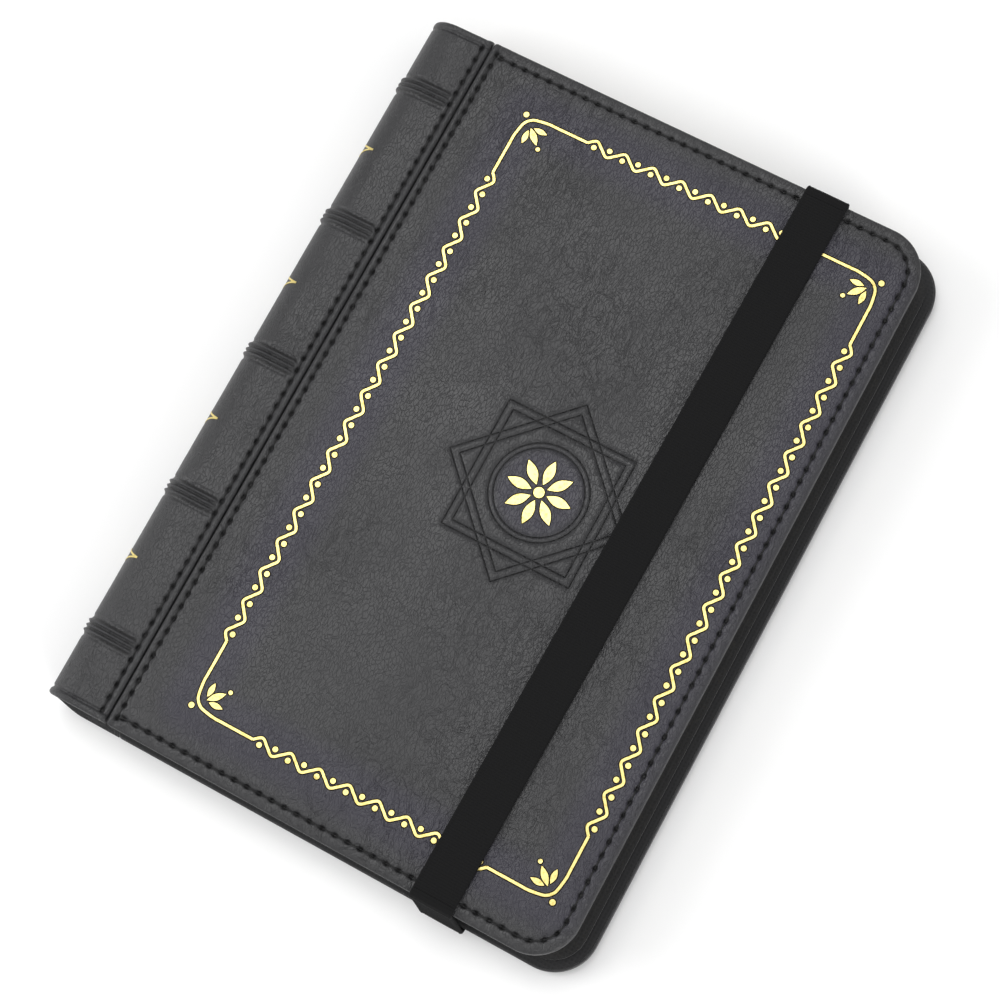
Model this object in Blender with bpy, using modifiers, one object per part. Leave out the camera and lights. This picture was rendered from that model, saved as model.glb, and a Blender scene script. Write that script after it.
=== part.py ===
"""A pilot's logbook in a stitched, padded leatherette cover with a rounded spine and an elastic strap.

The book lies closed on its back cover. +X points to the fore-edge, +Y to the head and +Z up. The origin is
at the bottom, in the middle of the outline. Sizes are in metres.
"""

import math

import bmesh
import bpy

# Driving sizes
LEAF_HEIGHT = 0.210  # leaves of a standard A5 logbook, head to tail
LEAF_WIDTH = 0.145  # fold to fore-edge, after trimming
THICKNESS = 0.020  # outer face of the back cover to outer face of the front cover
SPINE_DEPTH = 0.0200  # hinge seam to the back of the spine
GAP = 0.00025  # clearance between pieces that touch

# How far the covers reach past what they cover
END_SQUARE = 0.0025  # front cover past the leaves, at the head and at the tail
FORE_SQUARE = 0.0045  # front cover past the leaves, at the fore-edge
BACK_FORE_OVERHANG = 0.0050  # back cover past the front cover
BACK_END_OVERHANG = 0.0015

# Cover build-up, from the outer face inwards
SKIN = 0.0012
TURNED_EDGE = 0.0010  # thickness of the skin where it turns in round the rim
FOAM = 0.0009
BOARD = 0.0015
LINING = 0.00045
RIM_CHAMFER = 0.0008
FORE_CORNER = 0.0125
SEAM_CORNER = 0.0015
BOARD_INSET = 0.0060
LINING_INSET = 0.0006
SEAM_GAP = 0.00015  # half the slit between the spine leather and a cover panel

# Sewn lines
EDGE_STITCH_INSET = 0.0035
SEAM_STITCH_INSET = 0.00225
SPINE_STITCH_INSET = 0.0026
THREAD_WIDTH = 0.0005
THREAD_HEIGHT = 0.0004
CHANNEL_WIDTH = 0.0011
CHANNEL_DEPTH = 0.0008
SEWN_ROW_END = 0.003  # from the head and tail to the first stitch beside the hinge

# Spine
SPINE_DROP = 0.0005  # spine leather below the covers' outer faces
SPINE_RADIUS = 0.0085
SPINE_WALL = 0.0010  # least flat height between the two bends
SPINE_LEATHER = 0.0010
BAND_COUNT = 5
BAND_END_MARGIN = 0.0209  # middle of the outer bands to the head and tail
BAND_WIDTH = 0.0043
BAND_HEIGHT = 0.0005
BAND_SLOPE = 0.0006
BAND_START = 0.0034  # from the hinge seam
STIFFENER = 0.0008
STIFFENER_SPREAD = math.radians(50)
SPINE_LINING = 0.0004
MARK_LENGTH = 0.006  # along the spine
MARK_ROUND = 0.0204  # round the spine
MARK_LINE = 0.0006
FOIL = 0.0001

# Logbook held in the cover
LEAF_CORNER = 0.003
SPINE_CLEARANCE = 0.0055  # back of the spine to the folded edges of the leaves
SECTION_COUNT = 4
SECTION_GAP = 0.0003
CARD = 0.0005
POCKET = 0.0004
POCKET_INSET = 0.0030
POCKET_WIDTH = 0.070
TAPE = 0.0004
SEWING_THREAD = 0.0004
SEWING_STATIONS = 6
LEAF_HINGE_CLEARANCE = 0.0017  # folded edges to the line that the leaves turn on

# Gold foil
FRAME_SEAM_MARGIN = 0.0180
FRAME_FORE_MARGIN = 0.0087
FRAME_END_MARGIN = 0.0149
FRAME_BAND = 0.0045
ROSETTE_RADIUS = 0.0100
ROSETTE_POINTS = 8

# Elastic strap
STRAP_WIDTH = 0.0125
STRAP = 0.0009
STRAP_LIFT = 0.0007  # underside above the front cover
STRAP_FORE_HEAD = 0.0325  # middle of the strap to the front cover's fore-edge, at the head
STRAP_FORE_TAIL = 0.0360
STRAP_BEND = 0.0016
STRAP_TAB = 0.0048  # length sewn inside the back cover's rim
STRAP_SWUNG_CLEARANCE = 0.0065  # fore-edge of the back cover to the swung strap

CORNER_STEPS = 6
SEAM_CORNER_STEPS = 2
ARC_STEPS = 6

# Sizes and places worked out from the values above
FRONT_WIDTH = LEAF_WIDTH + SPINE_CLEARANCE + FORE_SQUARE - SPINE_DEPTH
FRONT_HEIGHT = LEAF_HEIGHT + 2 * END_SQUARE
BACK_WIDTH = FRONT_WIDTH + BACK_FORE_OVERHANG
BACK_HEIGHT = FRONT_HEIGHT + 2 * BACK_END_OVERHANG
BAND_PITCH = (FRONT_HEIGHT - 2 * BAND_END_MARGIN) / (BAND_COUNT - 1)
BEND_RADIUS = min(SPINE_RADIUS, THICKNESS / 2 - SPINE_DROP - SPINE_WALL)
SPINE_REACH = SPINE_DEPTH + BAND_HEIGHT
SEAM_X = (SPINE_REACH - BACK_WIDTH) / 2
SPINE_X = SEAM_X - SPINE_DEPTH
FRONT_FORE_X = SEAM_X + FRONT_WIDTH
BACK_FORE_X = SEAM_X + BACK_WIDTH
FOAM_DEPTH = SKIN + GAP
BOARD_DEPTH = FOAM_DEPTH + FOAM + GAP
LINING_DEPTH = BOARD_DEPTH + BOARD + GAP
COVER_DEPTH = LINING_DEPTH + LINING
HELD_CARD_DEPTH = COVER_DEPTH + GAP
HELD_POCKET_DEPTH = HELD_CARD_DEPTH + CARD + GAP
LEAVES_DEPTH = HELD_POCKET_DEPTH + POCKET + GAP
FREE_CARD_DEPTH = LEAVES_DEPTH - GAP - CARD
LEAF_X = SPINE_X + SPINE_CLEARANCE
LEAF_HINGE_X = LEAF_X - LEAF_HINGE_CLEARANCE
MIDDLE_Z = THICKNESS / 2
SPINE_MIDDLE_RADIUS = BEND_RADIUS - SPINE_LEATHER / 2
# A bend of a quarter turn keeps its length when it is hinged this far inside its sharp corner.
BEND_INSET = SPINE_LEATHER / 2 + SPINE_MIDDLE_RADIUS * (1 - math.pi / 4)
HINGE_X = SPINE_X + BEND_INSET
BACK_HINGE_Z = SPINE_DROP + BEND_INSET
FRONT_HINGE_Z = THICKNESS - BACK_HINGE_Z
STRAP_Z = THICKNESS + STRAP_LIFT + STRAP / 2
STRAP_X_HEAD = FRONT_FORE_X - STRAP_FORE_HEAD
STRAP_X_TAIL = FRONT_FORE_X - STRAP_FORE_TAIL


def clear_scene():
    """Remove every object, so that the model starts from nothing."""
    for obj in list(bpy.data.objects):
        bpy.data.objects.remove(obj, do_unlink=True)


def new_collection(name):
    """Add a collection to the scene."""
    collection = bpy.data.collections.new(name)
    bpy.context.scene.collection.children.link(collection)
    return collection


def material(name, colour, roughness, metallic=0.0):
    """A plain Principled material."""
    made = bpy.data.materials.new(name)
    made.use_nodes = True
    shader = made.node_tree.nodes["Principled BSDF"]
    shader.inputs["Base Color"].default_value = (*colour, 1)
    shader.inputs["Roughness"].default_value = roughness
    shader.inputs["Metallic"].default_value = metallic
    made.diffuse_color = (*colour, 1)
    return made


def add_object(name, mesh_builder, finish, smooth=False):
    """Turn a bmesh into a named object of the logbook."""
    bmesh.ops.recalc_face_normals(mesh_builder, faces=mesh_builder.faces)
    mesh = bpy.data.meshes.new(name)
    mesh_builder.to_mesh(mesh)
    mesh_builder.free()
    mesh.materials.append(finish)
    if smooth:
        mesh.shade_smooth()
        mesh.set_sharp_from_angle(angle=math.radians(35))
    obj = bpy.data.objects.new(name, mesh)
    LOGBOOK.objects.link(obj)
    return obj


def outline(x_seam, x_fore, half_height, inset=0.0, seam_inset=None, corner=FORE_CORNER):
    """Points round a cover outline: square at the hinge seam, rounded at the fore-edge."""
    seam_inset = inset if seam_inset is None else seam_inset
    low = x_seam + seam_inset
    high = x_fore - inset
    side = half_height - inset
    fore_radius = max(corner - inset, GAP)
    seam_radius = max(SEAM_CORNER - inset, GAP)
    corners = (
        (high - fore_radius, side - fore_radius, fore_radius, 0, CORNER_STEPS),
        (low + seam_radius, side - seam_radius, seam_radius, 90, SEAM_CORNER_STEPS),
        (low + seam_radius, seam_radius - side, seam_radius, 180, SEAM_CORNER_STEPS),
        (high - fore_radius, fore_radius - side, fore_radius, 270, CORNER_STEPS),
    )
    points = []
    for centre_x, centre_y, radius, start, steps in corners:
        for step in range(steps + 1):
            angle = math.radians(start + 90 * step / steps)
            points.append((centre_x + radius * math.cos(angle), centre_y + radius * math.sin(angle)))
    return points


def loft(rings, ring_closed=False):
    """A bmesh through rings of points, capped at both ends or closed on itself."""
    shape = bmesh.new()
    loops = [[shape.verts.new(point) for point in ring] for ring in rings]
    pairs = list(zip(loops, loops[1:]))
    if ring_closed:
        pairs.append((loops[-1], loops[0]))
    for lower, upper in pairs:
        for index in range(len(lower)):
            after = (index + 1) % len(lower)
            shape.faces.new((lower[index], lower[after], upper[after], upper[index]))
    if not ring_closed:
        shape.faces.new(loops[0])
        shape.faces.new(loops[-1])
    return shape


def height_of(depth, is_front):
    """World height of a depth below the outer face of the front or back cover."""
    return THICKNESS - depth if is_front else depth


def slab(name, shape_at, near, far, is_front, finish):
    """A flat sheet with a cover outline, between two depths."""
    rings = [[(x, y, height_of(depth, is_front)) for x, y in shape_at] for depth in (near, far)]
    return add_object(name, loft(rings), finish)


def cover_shape(is_front, inset=0.0, seam_inset=None):
    """The outline of the front or back cover panel."""
    x_fore = FRONT_FORE_X if is_front else BACK_FORE_X
    half_height = (FRONT_HEIGHT if is_front else BACK_HEIGHT) / 2
    return outline(SEAM_X + SEAM_GAP, x_fore, half_height, inset, seam_inset)


def cover_skin(name, is_front, finish):
    """The leatherette of a cover: a shallow tray with a stitching channel all round its face."""
    half_channel = CHANNEL_WIDTH / 2
    turned = BOARD_DEPTH + BOARD
    profile = (
        (EDGE_STITCH_INSET + half_channel, SEAM_STITCH_INSET + half_channel, 0.0),
        (EDGE_STITCH_INSET + half_channel, SEAM_STITCH_INSET + half_channel, CHANNEL_DEPTH),
        (EDGE_STITCH_INSET - half_channel, SEAM_STITCH_INSET - half_channel, CHANNEL_DEPTH),
        (EDGE_STITCH_INSET - half_channel, SEAM_STITCH_INSET - half_channel, 0.0),
        (RIM_CHAMFER, RIM_CHAMFER, 0.0),
        (0.0, 0.0, RIM_CHAMFER),
        (0.0, 0.0, turned),
        (TURNED_EDGE, TURNED_EDGE, turned),
        (TURNED_EDGE, TURNED_EDGE, SKIN),
    )
    rings = []
    for inset, seam_inset, depth in profile:
        z = height_of(depth, is_front)
        rings.append([(x, y, z) for x, y in cover_shape(is_front, inset, seam_inset)])
    return add_object(name, loft(rings), finish)


def edge_thread(name, is_front, finish):
    """The thread that lies in the stitching channel of a cover."""
    half = THREAD_WIDTH / 2
    low = CHANNEL_DEPTH - GAP
    corners = ((half, low), (-half, low), (-half, low - THREAD_HEIGHT), (half, low - THREAD_HEIGHT))
    rings = []
    for side, depth in corners:
        z = height_of(depth, is_front)
        shape_at = cover_shape(is_front, EDGE_STITCH_INSET + side, SEAM_STITCH_INSET + side)
        rings.append([(x, y, z) for x, y in shape_at])
    return add_object(name, loft(rings, ring_closed=True), finish)


def box(name, low, high, finish):
    """A rectangular block between two corners."""
    shape = bmesh.new()
    bmesh.ops.create_cube(shape, size=1.0)
    for vert in shape.verts:
        for axis in range(3):
            vert.co[axis] = low[axis] + (vert.co[axis] + 0.5) * (high[axis] - low[axis])
    return add_object(name, shape, finish)


def cut(target, name, low, high):
    """Cut a rectangular opening out of a piece."""
    cutter = box(name, low, high, target.data.materials[0])
    LOGBOOK.objects.unlink(cutter)
    CUTTERS.objects.link(cutter)
    cutter.hide_render = True
    cutter.display_type = "WIRE"
    modifier = target.modifiers.new(name, "BOOLEAN")
    modifier.operation = "DIFFERENCE"
    modifier.solver = "EXACT"
    modifier.object = cutter


def spine_path_length(depth):
    """Lengths of one flat, one quarter bend and the back wall of the spine, at a depth in its leather."""
    flat = SPINE_DEPTH - BEND_RADIUS
    bend = (BEND_RADIUS - depth) * math.pi / 2
    wall = THICKNESS - 2 * SPINE_DROP - 2 * BEND_RADIUS
    return flat, bend, wall


def spine_point(along, depth, raised=0.0):
    """(x, z) on the spine section, along from its back middle, positive towards the front cover."""
    _, bend, wall = spine_path_length(depth)
    radius = BEND_RADIUS - depth
    side = 1 if along >= 0 else -1
    rest = abs(along) - wall / 2
    centre_x = SPINE_X + BEND_RADIUS
    if rest <= 0:
        return SPINE_X + depth - raised, MIDDLE_Z + along
    angle = min(rest / bend, 1.0) * math.pi / 2
    x = centre_x - (radius + raised) * math.cos(angle) + max(rest - bend, 0.0)
    z = wall / 2 + (radius + raised) * math.sin(angle)
    return x, MIDDLE_Z + side * z


def sheet_round_spine(name, stations, lengths, depth, thickness, raised_at, finish):
    """A grid wrapped round the spine section, then thickened inwards."""
    shape = bmesh.new()
    bmesh.ops.create_grid(shape, x_segments=len(stations) - 1, y_segments=len(lengths) - 1, size=0.5)
    for vert in shape.verts:
        across = stations[round((vert.co.x + 0.5) * (len(stations) - 1))]
        y = lengths[round((vert.co.y + 0.5) * (len(lengths) - 1))]
        x, z = spine_point(across, depth, raised_at(across, y))
        vert.co = (x, y, z)
    obj = add_object(name, shape, finish, smooth=True)
    thicken(obj, thickness, outward=False)
    return obj


def thicken(obj, thickness, outward):
    """Give an open sheet its thickness, away from or towards the inside of the spine."""
    mesh = obj.data
    faces_out = sum(face.normal.x * face.area for face in mesh.polygons) < 0
    if not faces_out:
        mesh.flip_normals()
    modifier = obj.modifiers.new("thickness", "SOLIDIFY")
    modifier.thickness = thickness
    modifier.offset = 1.0 if outward else -1.0


def bend_stations(depth, end_inset, extra=()):
    """Places along the spine section: both flats, the bends in steps, and the back wall."""
    flat, bend, wall = spine_path_length(depth)
    end = wall / 2 + bend + flat - end_inset
    half = [wall / 2 + bend * step / ARC_STEPS for step in range(ARC_STEPS + 1)]
    half += [end - place for place in sorted(extra, reverse=True)]
    half.append(end)
    return [-place for place in reversed(half)] + half


def spine_leather(finish):
    """The one piece of leather round the spine, with raised bands."""
    end = sum(spine_path_length(0.0)) - spine_path_length(0.0)[2] / 2
    band_end = end - BAND_START
    middles = [BAND_PITCH * (index - (BAND_COUNT - 1) / 2) for index in range(BAND_COUNT)]
    half_band = BAND_WIDTH / 2
    offsets = (-half_band, BAND_SLOPE - half_band, half_band - BAND_SLOPE, half_band)
    lengths = [-FRONT_HEIGHT / 2]
    lengths += [middle + offset for middle in middles for offset in offsets]
    lengths.append(FRONT_HEIGHT / 2)

    def raised_at(across, y):
        on_band = any(abs(y - middle) < half_band - BAND_SLOPE / 2 for middle in middles)
        return BAND_HEIGHT if on_band and abs(across) < band_end - BAND_SLOPE / 2 else 0.0

    extra = (BAND_START - SEAM_GAP, BAND_START + BAND_SLOPE - SEAM_GAP)
    stations = bend_stations(0.0, SEAM_GAP, extra)
    return sheet_round_spine(
        "spine_leather", stations, lengths, 0.0, SPINE_LEATHER, raised_at, finish
    )


def flat_sheet(across, y):
    """No raised band."""
    return 0.0


def spine_stiffener(finish):
    """The curved strip that keeps the back of the spine round."""
    depth = SPINE_LEATHER + GAP
    _, bend, wall = spine_path_length(depth)
    reach = bend * STIFFENER_SPREAD / (math.pi / 2)
    half = [wall / 2 + reach * step / ARC_STEPS for step in range(ARC_STEPS + 1)]
    stations = [-place for place in reversed(half)] + half
    ends = [-LEAF_HEIGHT / 2, LEAF_HEIGHT / 2]
    return sheet_round_spine("spine_stiffener", stations, ends, depth, STIFFENER, flat_sheet, finish)


def spine_lining(finish):
    """The lining inside the spine, from one hinge to the other."""
    depth = SPINE_LEATHER + STIFFENER + 2 * GAP
    stations = bend_stations(depth, GAP)
    ends = [-LEAF_HEIGHT / 2, LEAF_HEIGHT / 2]
    return sheet_round_spine("spine_lining", stations, ends, depth, SPINE_LINING, flat_sheet, finish)


def spine_foil_mark(index, finish):
    """An open gold diamond between two bands, on the back of the spine."""
    shape = bmesh.new()
    middle = BAND_PITCH * (index - (BAND_COUNT - 2) / 2)
    rings = []
    for shrink in (0.0, MARK_LINE):
        half_round = MARK_ROUND / 2 - shrink
        half_long = MARK_LENGTH / 2 - shrink
        corners = ((half_round, 0.0), (0.0, half_long), (-half_round, 0.0), (0.0, -half_long))
        ring = []
        for across, y in subdivided(corners, ARC_STEPS):
            x, z = spine_point(across, -GAP)
            ring.append(shape.verts.new((x, middle + y, z)))
        rings.append(ring)
    outer, inner = rings
    for place in range(len(outer)):
        after = (place + 1) % len(outer)
        shape.faces.new((outer[place], outer[after], inner[after], inner[place]))
    obj = add_object(f"spine_foil_mark_{index + 1}", shape, finish)
    thicken(obj, FOIL, outward=True)
    return obj


def subdivided(corners, steps):
    """Points along a closed outline, with each side cut into equal steps."""
    points = []
    for index, (x, y) in enumerate(corners):
        next_x, next_y = corners[(index + 1) % len(corners)]
        for step in range(steps):
            share = step / steps
            points.append((x + (next_x - x) * share, y + (next_y - y) * share))
    return points


def seam_thread(name, is_front, finish):
    """The row of stitching on the spine leather, beside the hinge seam."""
    x = SEAM_X - SPINE_STITCH_INSET
    half_length = FRONT_HEIGHT / 2 - SEWN_ROW_END
    heights = sorted(height_of(depth, is_front) for depth in (0.0, SPINE_DROP - GAP))
    low = (x - THREAD_WIDTH / 2, -half_length, heights[0])
    high = (x + THREAD_WIDTH / 2, half_length, heights[1])
    return box(name, low, high, finish)


def pocket(name, is_front, stand_off, finish):
    """A lining pocket, open towards the spine and closed on its other three sides."""
    x_fore = FRONT_FORE_X if is_front else BACK_FORE_X
    half_height = (FRONT_HEIGHT if is_front else BACK_HEIGHT) / 2
    x_mouth = x_fore - POCKET_INSET - POCKET_WIDTH
    near = COVER_DEPTH + GAP
    plate = COVER_DEPTH + stand_off
    far = plate + POCKET

    def shape_at(extra):
        corner = FORE_CORNER - POCKET_INSET
        return outline(x_mouth, x_fore - POCKET_INSET, half_height - POCKET_INSET, extra, None, corner)

    if plate <= near:
        return slab(name, shape_at(0.0), near, near + POCKET, is_front, finish)
    rings = []
    for inset, depth in ((0.0, far), (0.0, near), (POCKET, near), (POCKET, plate)):
        z = height_of(depth, is_front)
        rings.append([(x, y, z) for x, y in shape_at(inset)])
    obj = add_object(name, loft(rings), finish)
    heights = sorted(height_of(depth, is_front) for depth in (near - GAP, plate))
    reach = half_height - POCKET_INSET - POCKET - GAP
    low = (x_mouth - POCKET, -reach, heights[0])
    high = (x_mouth + SEAM_CORNER, reach, heights[1])
    cut(obj, name + "_mouth", low, high)
    return obj


def leaf_outline():
    """The outline of the leaves and of their card covers."""
    return outline(LEAF_X, LEAF_X + LEAF_WIDTH, LEAF_HEIGHT / 2, corner=LEAF_CORNER)


def leaf_sections(finish):
    """The folded sections of leaves, counted from the front cover down."""
    total = THICKNESS - 2 * LEAVES_DEPTH
    each = (total - SECTION_GAP * (SECTION_COUNT - 1)) / SECTION_COUNT
    sections = []
    for index in range(SECTION_COUNT):
        near = LEAVES_DEPTH + index * (each + SECTION_GAP)
        name = f"leaf_section_{index + 1}"
        sections.append(slab(name, leaf_outline(), near, near + each, True, finish))
    return sections


def spine_tape(finish):
    """The cloth strip glued down the folded edges."""
    inner = LEAF_X - SEWING_THREAD - 2 * GAP
    half_length = LEAF_HEIGHT / 2
    low = (inner - TAPE, -half_length, HELD_CARD_DEPTH + CARD + GAP)
    high = (inner, half_length, THICKNESS - FREE_CARD_DEPTH - GAP)
    return box("spine_tape", low, high, finish)


def sewing_thread(finish):
    """The thread that ties the sections together: along one edge, across, and along the other."""
    curve = bpy.data.curves.new("sewing_thread", "CURVE")
    curve.dimensions = "3D"
    curve.bevel_depth = SEWING_THREAD / 2
    curve.bevel_resolution = 1
    curve.use_fill_caps = True
    reach = (THICKNESS - 2 * LEAVES_DEPTH) / 2 - GAP - SEWING_THREAD / 2
    pitch = LEAF_HEIGHT / SEWING_STATIONS
    points = []
    for station in range(SEWING_STATIONS):
        y = pitch * (station - (SEWING_STATIONS - 1) / 2)
        side = 1 if station % 2 == 0 else -1
        points += [(y, MIDDLE_Z - side * reach), (y, MIDDLE_Z + side * reach)]
    spline = curve.splines.new("POLY")
    spline.points.add(len(points) - 1)
    for point, (y, z) in zip(spline.points, points):
        point.co = (LEAF_X - GAP - SEWING_THREAD / 2, y, z, 1)
    curve.materials.append(finish)
    obj = bpy.data.objects.new("sewing_thread", curve)
    LOGBOOK.objects.link(obj)
    return obj


def foil_border(finish):
    """The gold border on the front cover, here as a plain flat frame."""
    outer = (
        SEAM_X + FRAME_SEAM_MARGIN - FRAME_BAND / 2,
        FRONT_FORE_X - FRAME_FORE_MARGIN + FRAME_BAND / 2,
        FRONT_HEIGHT / 2 - FRAME_END_MARGIN + FRAME_BAND / 2,
    )
    near = THICKNESS + GAP
    rings = []
    for inset, z in ((0.0, near), (0.0, near + FOIL), (FRAME_BAND, near + FOIL), (FRAME_BAND, near)):
        low, high, side = outer[0] + inset, outer[1] - inset, outer[2] - inset
        rings.append([(high, side, z), (low, side, z), (low, -side, z), (high, -side, z)])
    return add_object("foil_border", loft(rings, ring_closed=True), finish)


def foil_rosette(finish):
    """The gold star in the middle of the front cover's medallion."""
    middle_x = (SEAM_X + FRAME_SEAM_MARGIN + FRONT_FORE_X - FRAME_FORE_MARGIN) / 2
    rings = []
    for z in (THICKNESS + GAP, THICKNESS + GAP + FOIL):
        ring = []
        for index in range(2 * ROSETTE_POINTS):
            radius = ROSETTE_RADIUS if index % 2 == 0 else ROSETTE_RADIUS * 0.6
            angle = math.pi * index / ROSETTE_POINTS
            ring.append((middle_x + radius * math.cos(angle), radius * math.sin(angle), z))
        rings.append(ring)
    return add_object("foil_rosette", loft(rings), finish)


def ribbon(name, path, x_start, x_end, finish):
    """A flat elastic ribbon along a path of (y, z) points, its middle moving from x_start to x_end."""
    shape = bmesh.new()
    bmesh.ops.create_grid(shape, x_segments=1, y_segments=len(path) - 1, size=0.5)
    for vert in shape.verts:
        place = round((vert.co.y + 0.5) * (len(path) - 1))
        share = place / (len(path) - 1)
        middle = x_start + (x_end - x_start) * share
        side = 1 if vert.co.x > 0 else -1
        vert.co = (middle + side * STRAP_WIDTH / 2, *path[place])
    obj = add_object(name, shape, finish)
    modifier = obj.modifiers.new("thickness", "SOLIDIFY")
    modifier.thickness = STRAP
    modifier.offset = 0.0
    modifier.use_even_offset = True
    return obj


def strap_arm_path(end_sign):
    """(y, z) points of an arm: from its sewn tab, out of the rim, up past both covers and over the top."""
    outside = BACK_HEIGHT / 2 + GAP + STRAP / 2
    top_outside = FRONT_HEIGHT / 2 + STRAP_LIFT + STRAP / 2
    tab_z = BOARD_DEPTH + BOARD / 2
    steps = 4
    path = [(outside + GAP - STRAP_TAB - STRAP_BEND, tab_z)]
    for step in range(steps + 1):
        angle = math.pi / 2 * step / steps
        y = outside - STRAP_BEND + STRAP_BEND * math.sin(angle)
        path.append((y, tab_z + STRAP_BEND - STRAP_BEND * math.cos(angle)))
    for step in range(steps + 1):
        angle = math.pi / 2 * step / steps
        y = top_outside - STRAP_BEND + STRAP_BEND * math.cos(angle)
        path.append((y, STRAP_Z - STRAP_BEND + STRAP_BEND * math.sin(angle)))
    path.append((FRONT_HEIGHT / 2 - STRAP_BEND, STRAP_Z))
    return [(end_sign * y, z) for y, z in path]


def strap_parts(finish):
    """The strap's run over the front cover and its two arms."""
    run_end = FRONT_HEIGHT / 2 - STRAP_BEND - GAP
    run_path = [(-run_end, STRAP_Z), (0.0, STRAP_Z), (run_end, STRAP_Z)]
    run = ribbon("strap_run", run_path, STRAP_X_TAIL, STRAP_X_HEAD, finish)
    head = ribbon("strap_arm_head", strap_arm_path(1), STRAP_X_HEAD, STRAP_X_HEAD, finish)
    tail = ribbon("strap_arm_tail", strap_arm_path(-1), STRAP_X_TAIL, STRAP_X_TAIL, finish)
    return run, head, tail


def strap_slots(back_skin):
    """Openings in the back cover's turned edge, where the strap's ends go in."""
    half_slot = STRAP_WIDTH / 2 + GAP
    for name, x, sign in (("head_slot", STRAP_X_HEAD, 1), ("tail_slot", STRAP_X_TAIL, -1)):
        sides = sorted(sign * place for place in (BACK_HEIGHT / 2 - 2 * TURNED_EDGE, BACK_HEIGHT / 2 + SKIN))
        slot_low = BOARD_DEPTH + BOARD / 2 - STRAP / 2 - GAP
        slot_high = BOARD_DEPTH + BOARD + STRAP_BEND
        cut(back_skin, name, (x - half_slot, sides[0], slot_low), (x + half_slot, sides[1], slot_high))


def pivot(name, x, z, pieces):
    """An empty on a joint's axis, with the pieces that turn on it parented to it."""
    empty = bpy.data.objects.new(name, None)
    empty.location = (x, 0.0, z)
    empty.empty_display_size = 0.01
    LOGBOOK.objects.link(empty)
    bpy.context.view_layer.update()
    for piece in pieces:
        piece.parent = empty
        piece.matrix_parent_inverse = empty.matrix_world.inverted()
    return empty


def strap_pivot():
    """The line that the strap swings on, from over the front cover to beside the fore-edge."""
    rest_x = (STRAP_X_HEAD + STRAP_X_TAIL) / 2
    swung_x = BACK_FORE_X + STRAP_SWUNG_CLEARANCE
    x = (swung_x - STRAP_Z + MIDDLE_Z + rest_x) / 2
    z = (MIDDLE_Z + rest_x - swung_x + STRAP_Z) / 2
    return x, z


def cover_parts(side, is_front, materials):
    """The laminated pieces of one cover: skin, foam, board, lining and edge thread."""
    skin = cover_skin(f"{side}_cover_leather", is_front, materials["leather"])
    layers = (
        (f"{side}_cover_foam", TURNED_EDGE + GAP, FOAM_DEPTH, FOAM, "foam"),
        (f"{side}_cover_board", BOARD_INSET, BOARD_DEPTH, BOARD, "board"),
        (f"{side}_cover_lining", LINING_INSET, LINING_DEPTH, LINING, "lining"),
    )
    pieces = [skin]
    for name, inset, depth, thickness, finish in layers:
        shape_at = cover_shape(is_front, inset)
        pieces.append(slab(name, shape_at, depth, depth + thickness, is_front, materials[finish]))
    pieces.append(edge_thread(f"{side}_edge_stitching", is_front, materials["thread"]))
    pieces.append(seam_thread(f"{side}_seam_stitching", is_front, materials["thread"]))
    return pieces


def make_materials():
    """Every finish that the logbook shows."""
    return {
        "leather": material("black_leatherette", (0.035, 0.035, 0.037), 0.42),
        "thread": material("black_thread", (0.02, 0.02, 0.02), 0.7),
        "foam": material("grey_foam", (0.30, 0.30, 0.31), 0.95),
        "board": material("grey_board", (0.33, 0.29, 0.24), 0.9),
        "lining": material("black_lining", (0.025, 0.025, 0.027), 0.8),
        "stiffener": material("black_stiffener", (0.03, 0.03, 0.03), 0.5),
        "foil": material("gold_foil", (0.85, 0.70, 0.22), 0.25, 1.0),
        "elastic": material("black_elastic", (0.02, 0.02, 0.02), 0.85),
        "paper": material("ledger_paper", (0.86, 0.84, 0.76), 0.9),
        "card": material("dark_card", (0.05, 0.06, 0.09), 0.6),
        "tape": material("spine_cloth", (0.04, 0.04, 0.05), 0.85),
        "sewing": material("linen_thread", (0.75, 0.72, 0.62), 0.8),
    }


def build():
    """Make every piece of the logbook and hang it on its pivot."""
    materials = make_materials()
    back = cover_parts("back", False, materials)
    front = cover_parts("front", True, materials)

    pocket("back_pocket", False, CARD + 2 * GAP, materials["lining"])
    front.append(pocket("front_pocket", True, GAP, materials["lining"]))
    front.append(foil_border(materials["foil"]))
    front.append(foil_rosette(materials["foil"]))

    held_card = (HELD_CARD_DEPTH, HELD_CARD_DEPTH + CARD)
    slab("rear_card", leaf_outline(), *held_card, False, materials["card"])
    free_card = (FREE_CARD_DEPTH, FREE_CARD_DEPTH + CARD)
    front_card = slab("front_card", leaf_outline(), *free_card, True, materials["card"])
    sections = leaf_sections(materials["paper"])
    spine_tape(materials["tape"])
    sewing_thread(materials["sewing"])

    spine = [
        spine_leather(materials["leather"]),
        spine_stiffener(materials["stiffener"]),
        spine_lining(materials["lining"]),
    ]
    spine += [spine_foil_mark(index, materials["foil"]) for index in range(BAND_COUNT - 1)]
    run, _, _ = strap_parts(materials["elastic"])
    strap_slots(back[0])

    back_hinge = pivot("back_hinge", HINGE_X, BACK_HINGE_Z, spine)
    front_hinge = pivot("front_hinge", HINGE_X, FRONT_HINGE_Z, front)
    front_hinge.parent = back_hinge
    front_hinge.matrix_parent_inverse = back_hinge.matrix_world.inverted()
    pivot("leaf_hinge", LEAF_HINGE_X, MIDDLE_Z, [front_card, *sections[:-1]])
    pivot("strap_hinge", *strap_pivot(), [run])


clear_scene()
LOGBOOK = new_collection("pilot_logbook")
CUTTERS = new_collection("cutters")
CUTTERS.hide_render = True
build()
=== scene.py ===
import math
import random

import bmesh
import bpy
from mathutils import Matrix, Vector, kdtree, noise
from mathutils.geometry import delaunay_2d_cdt


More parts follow.
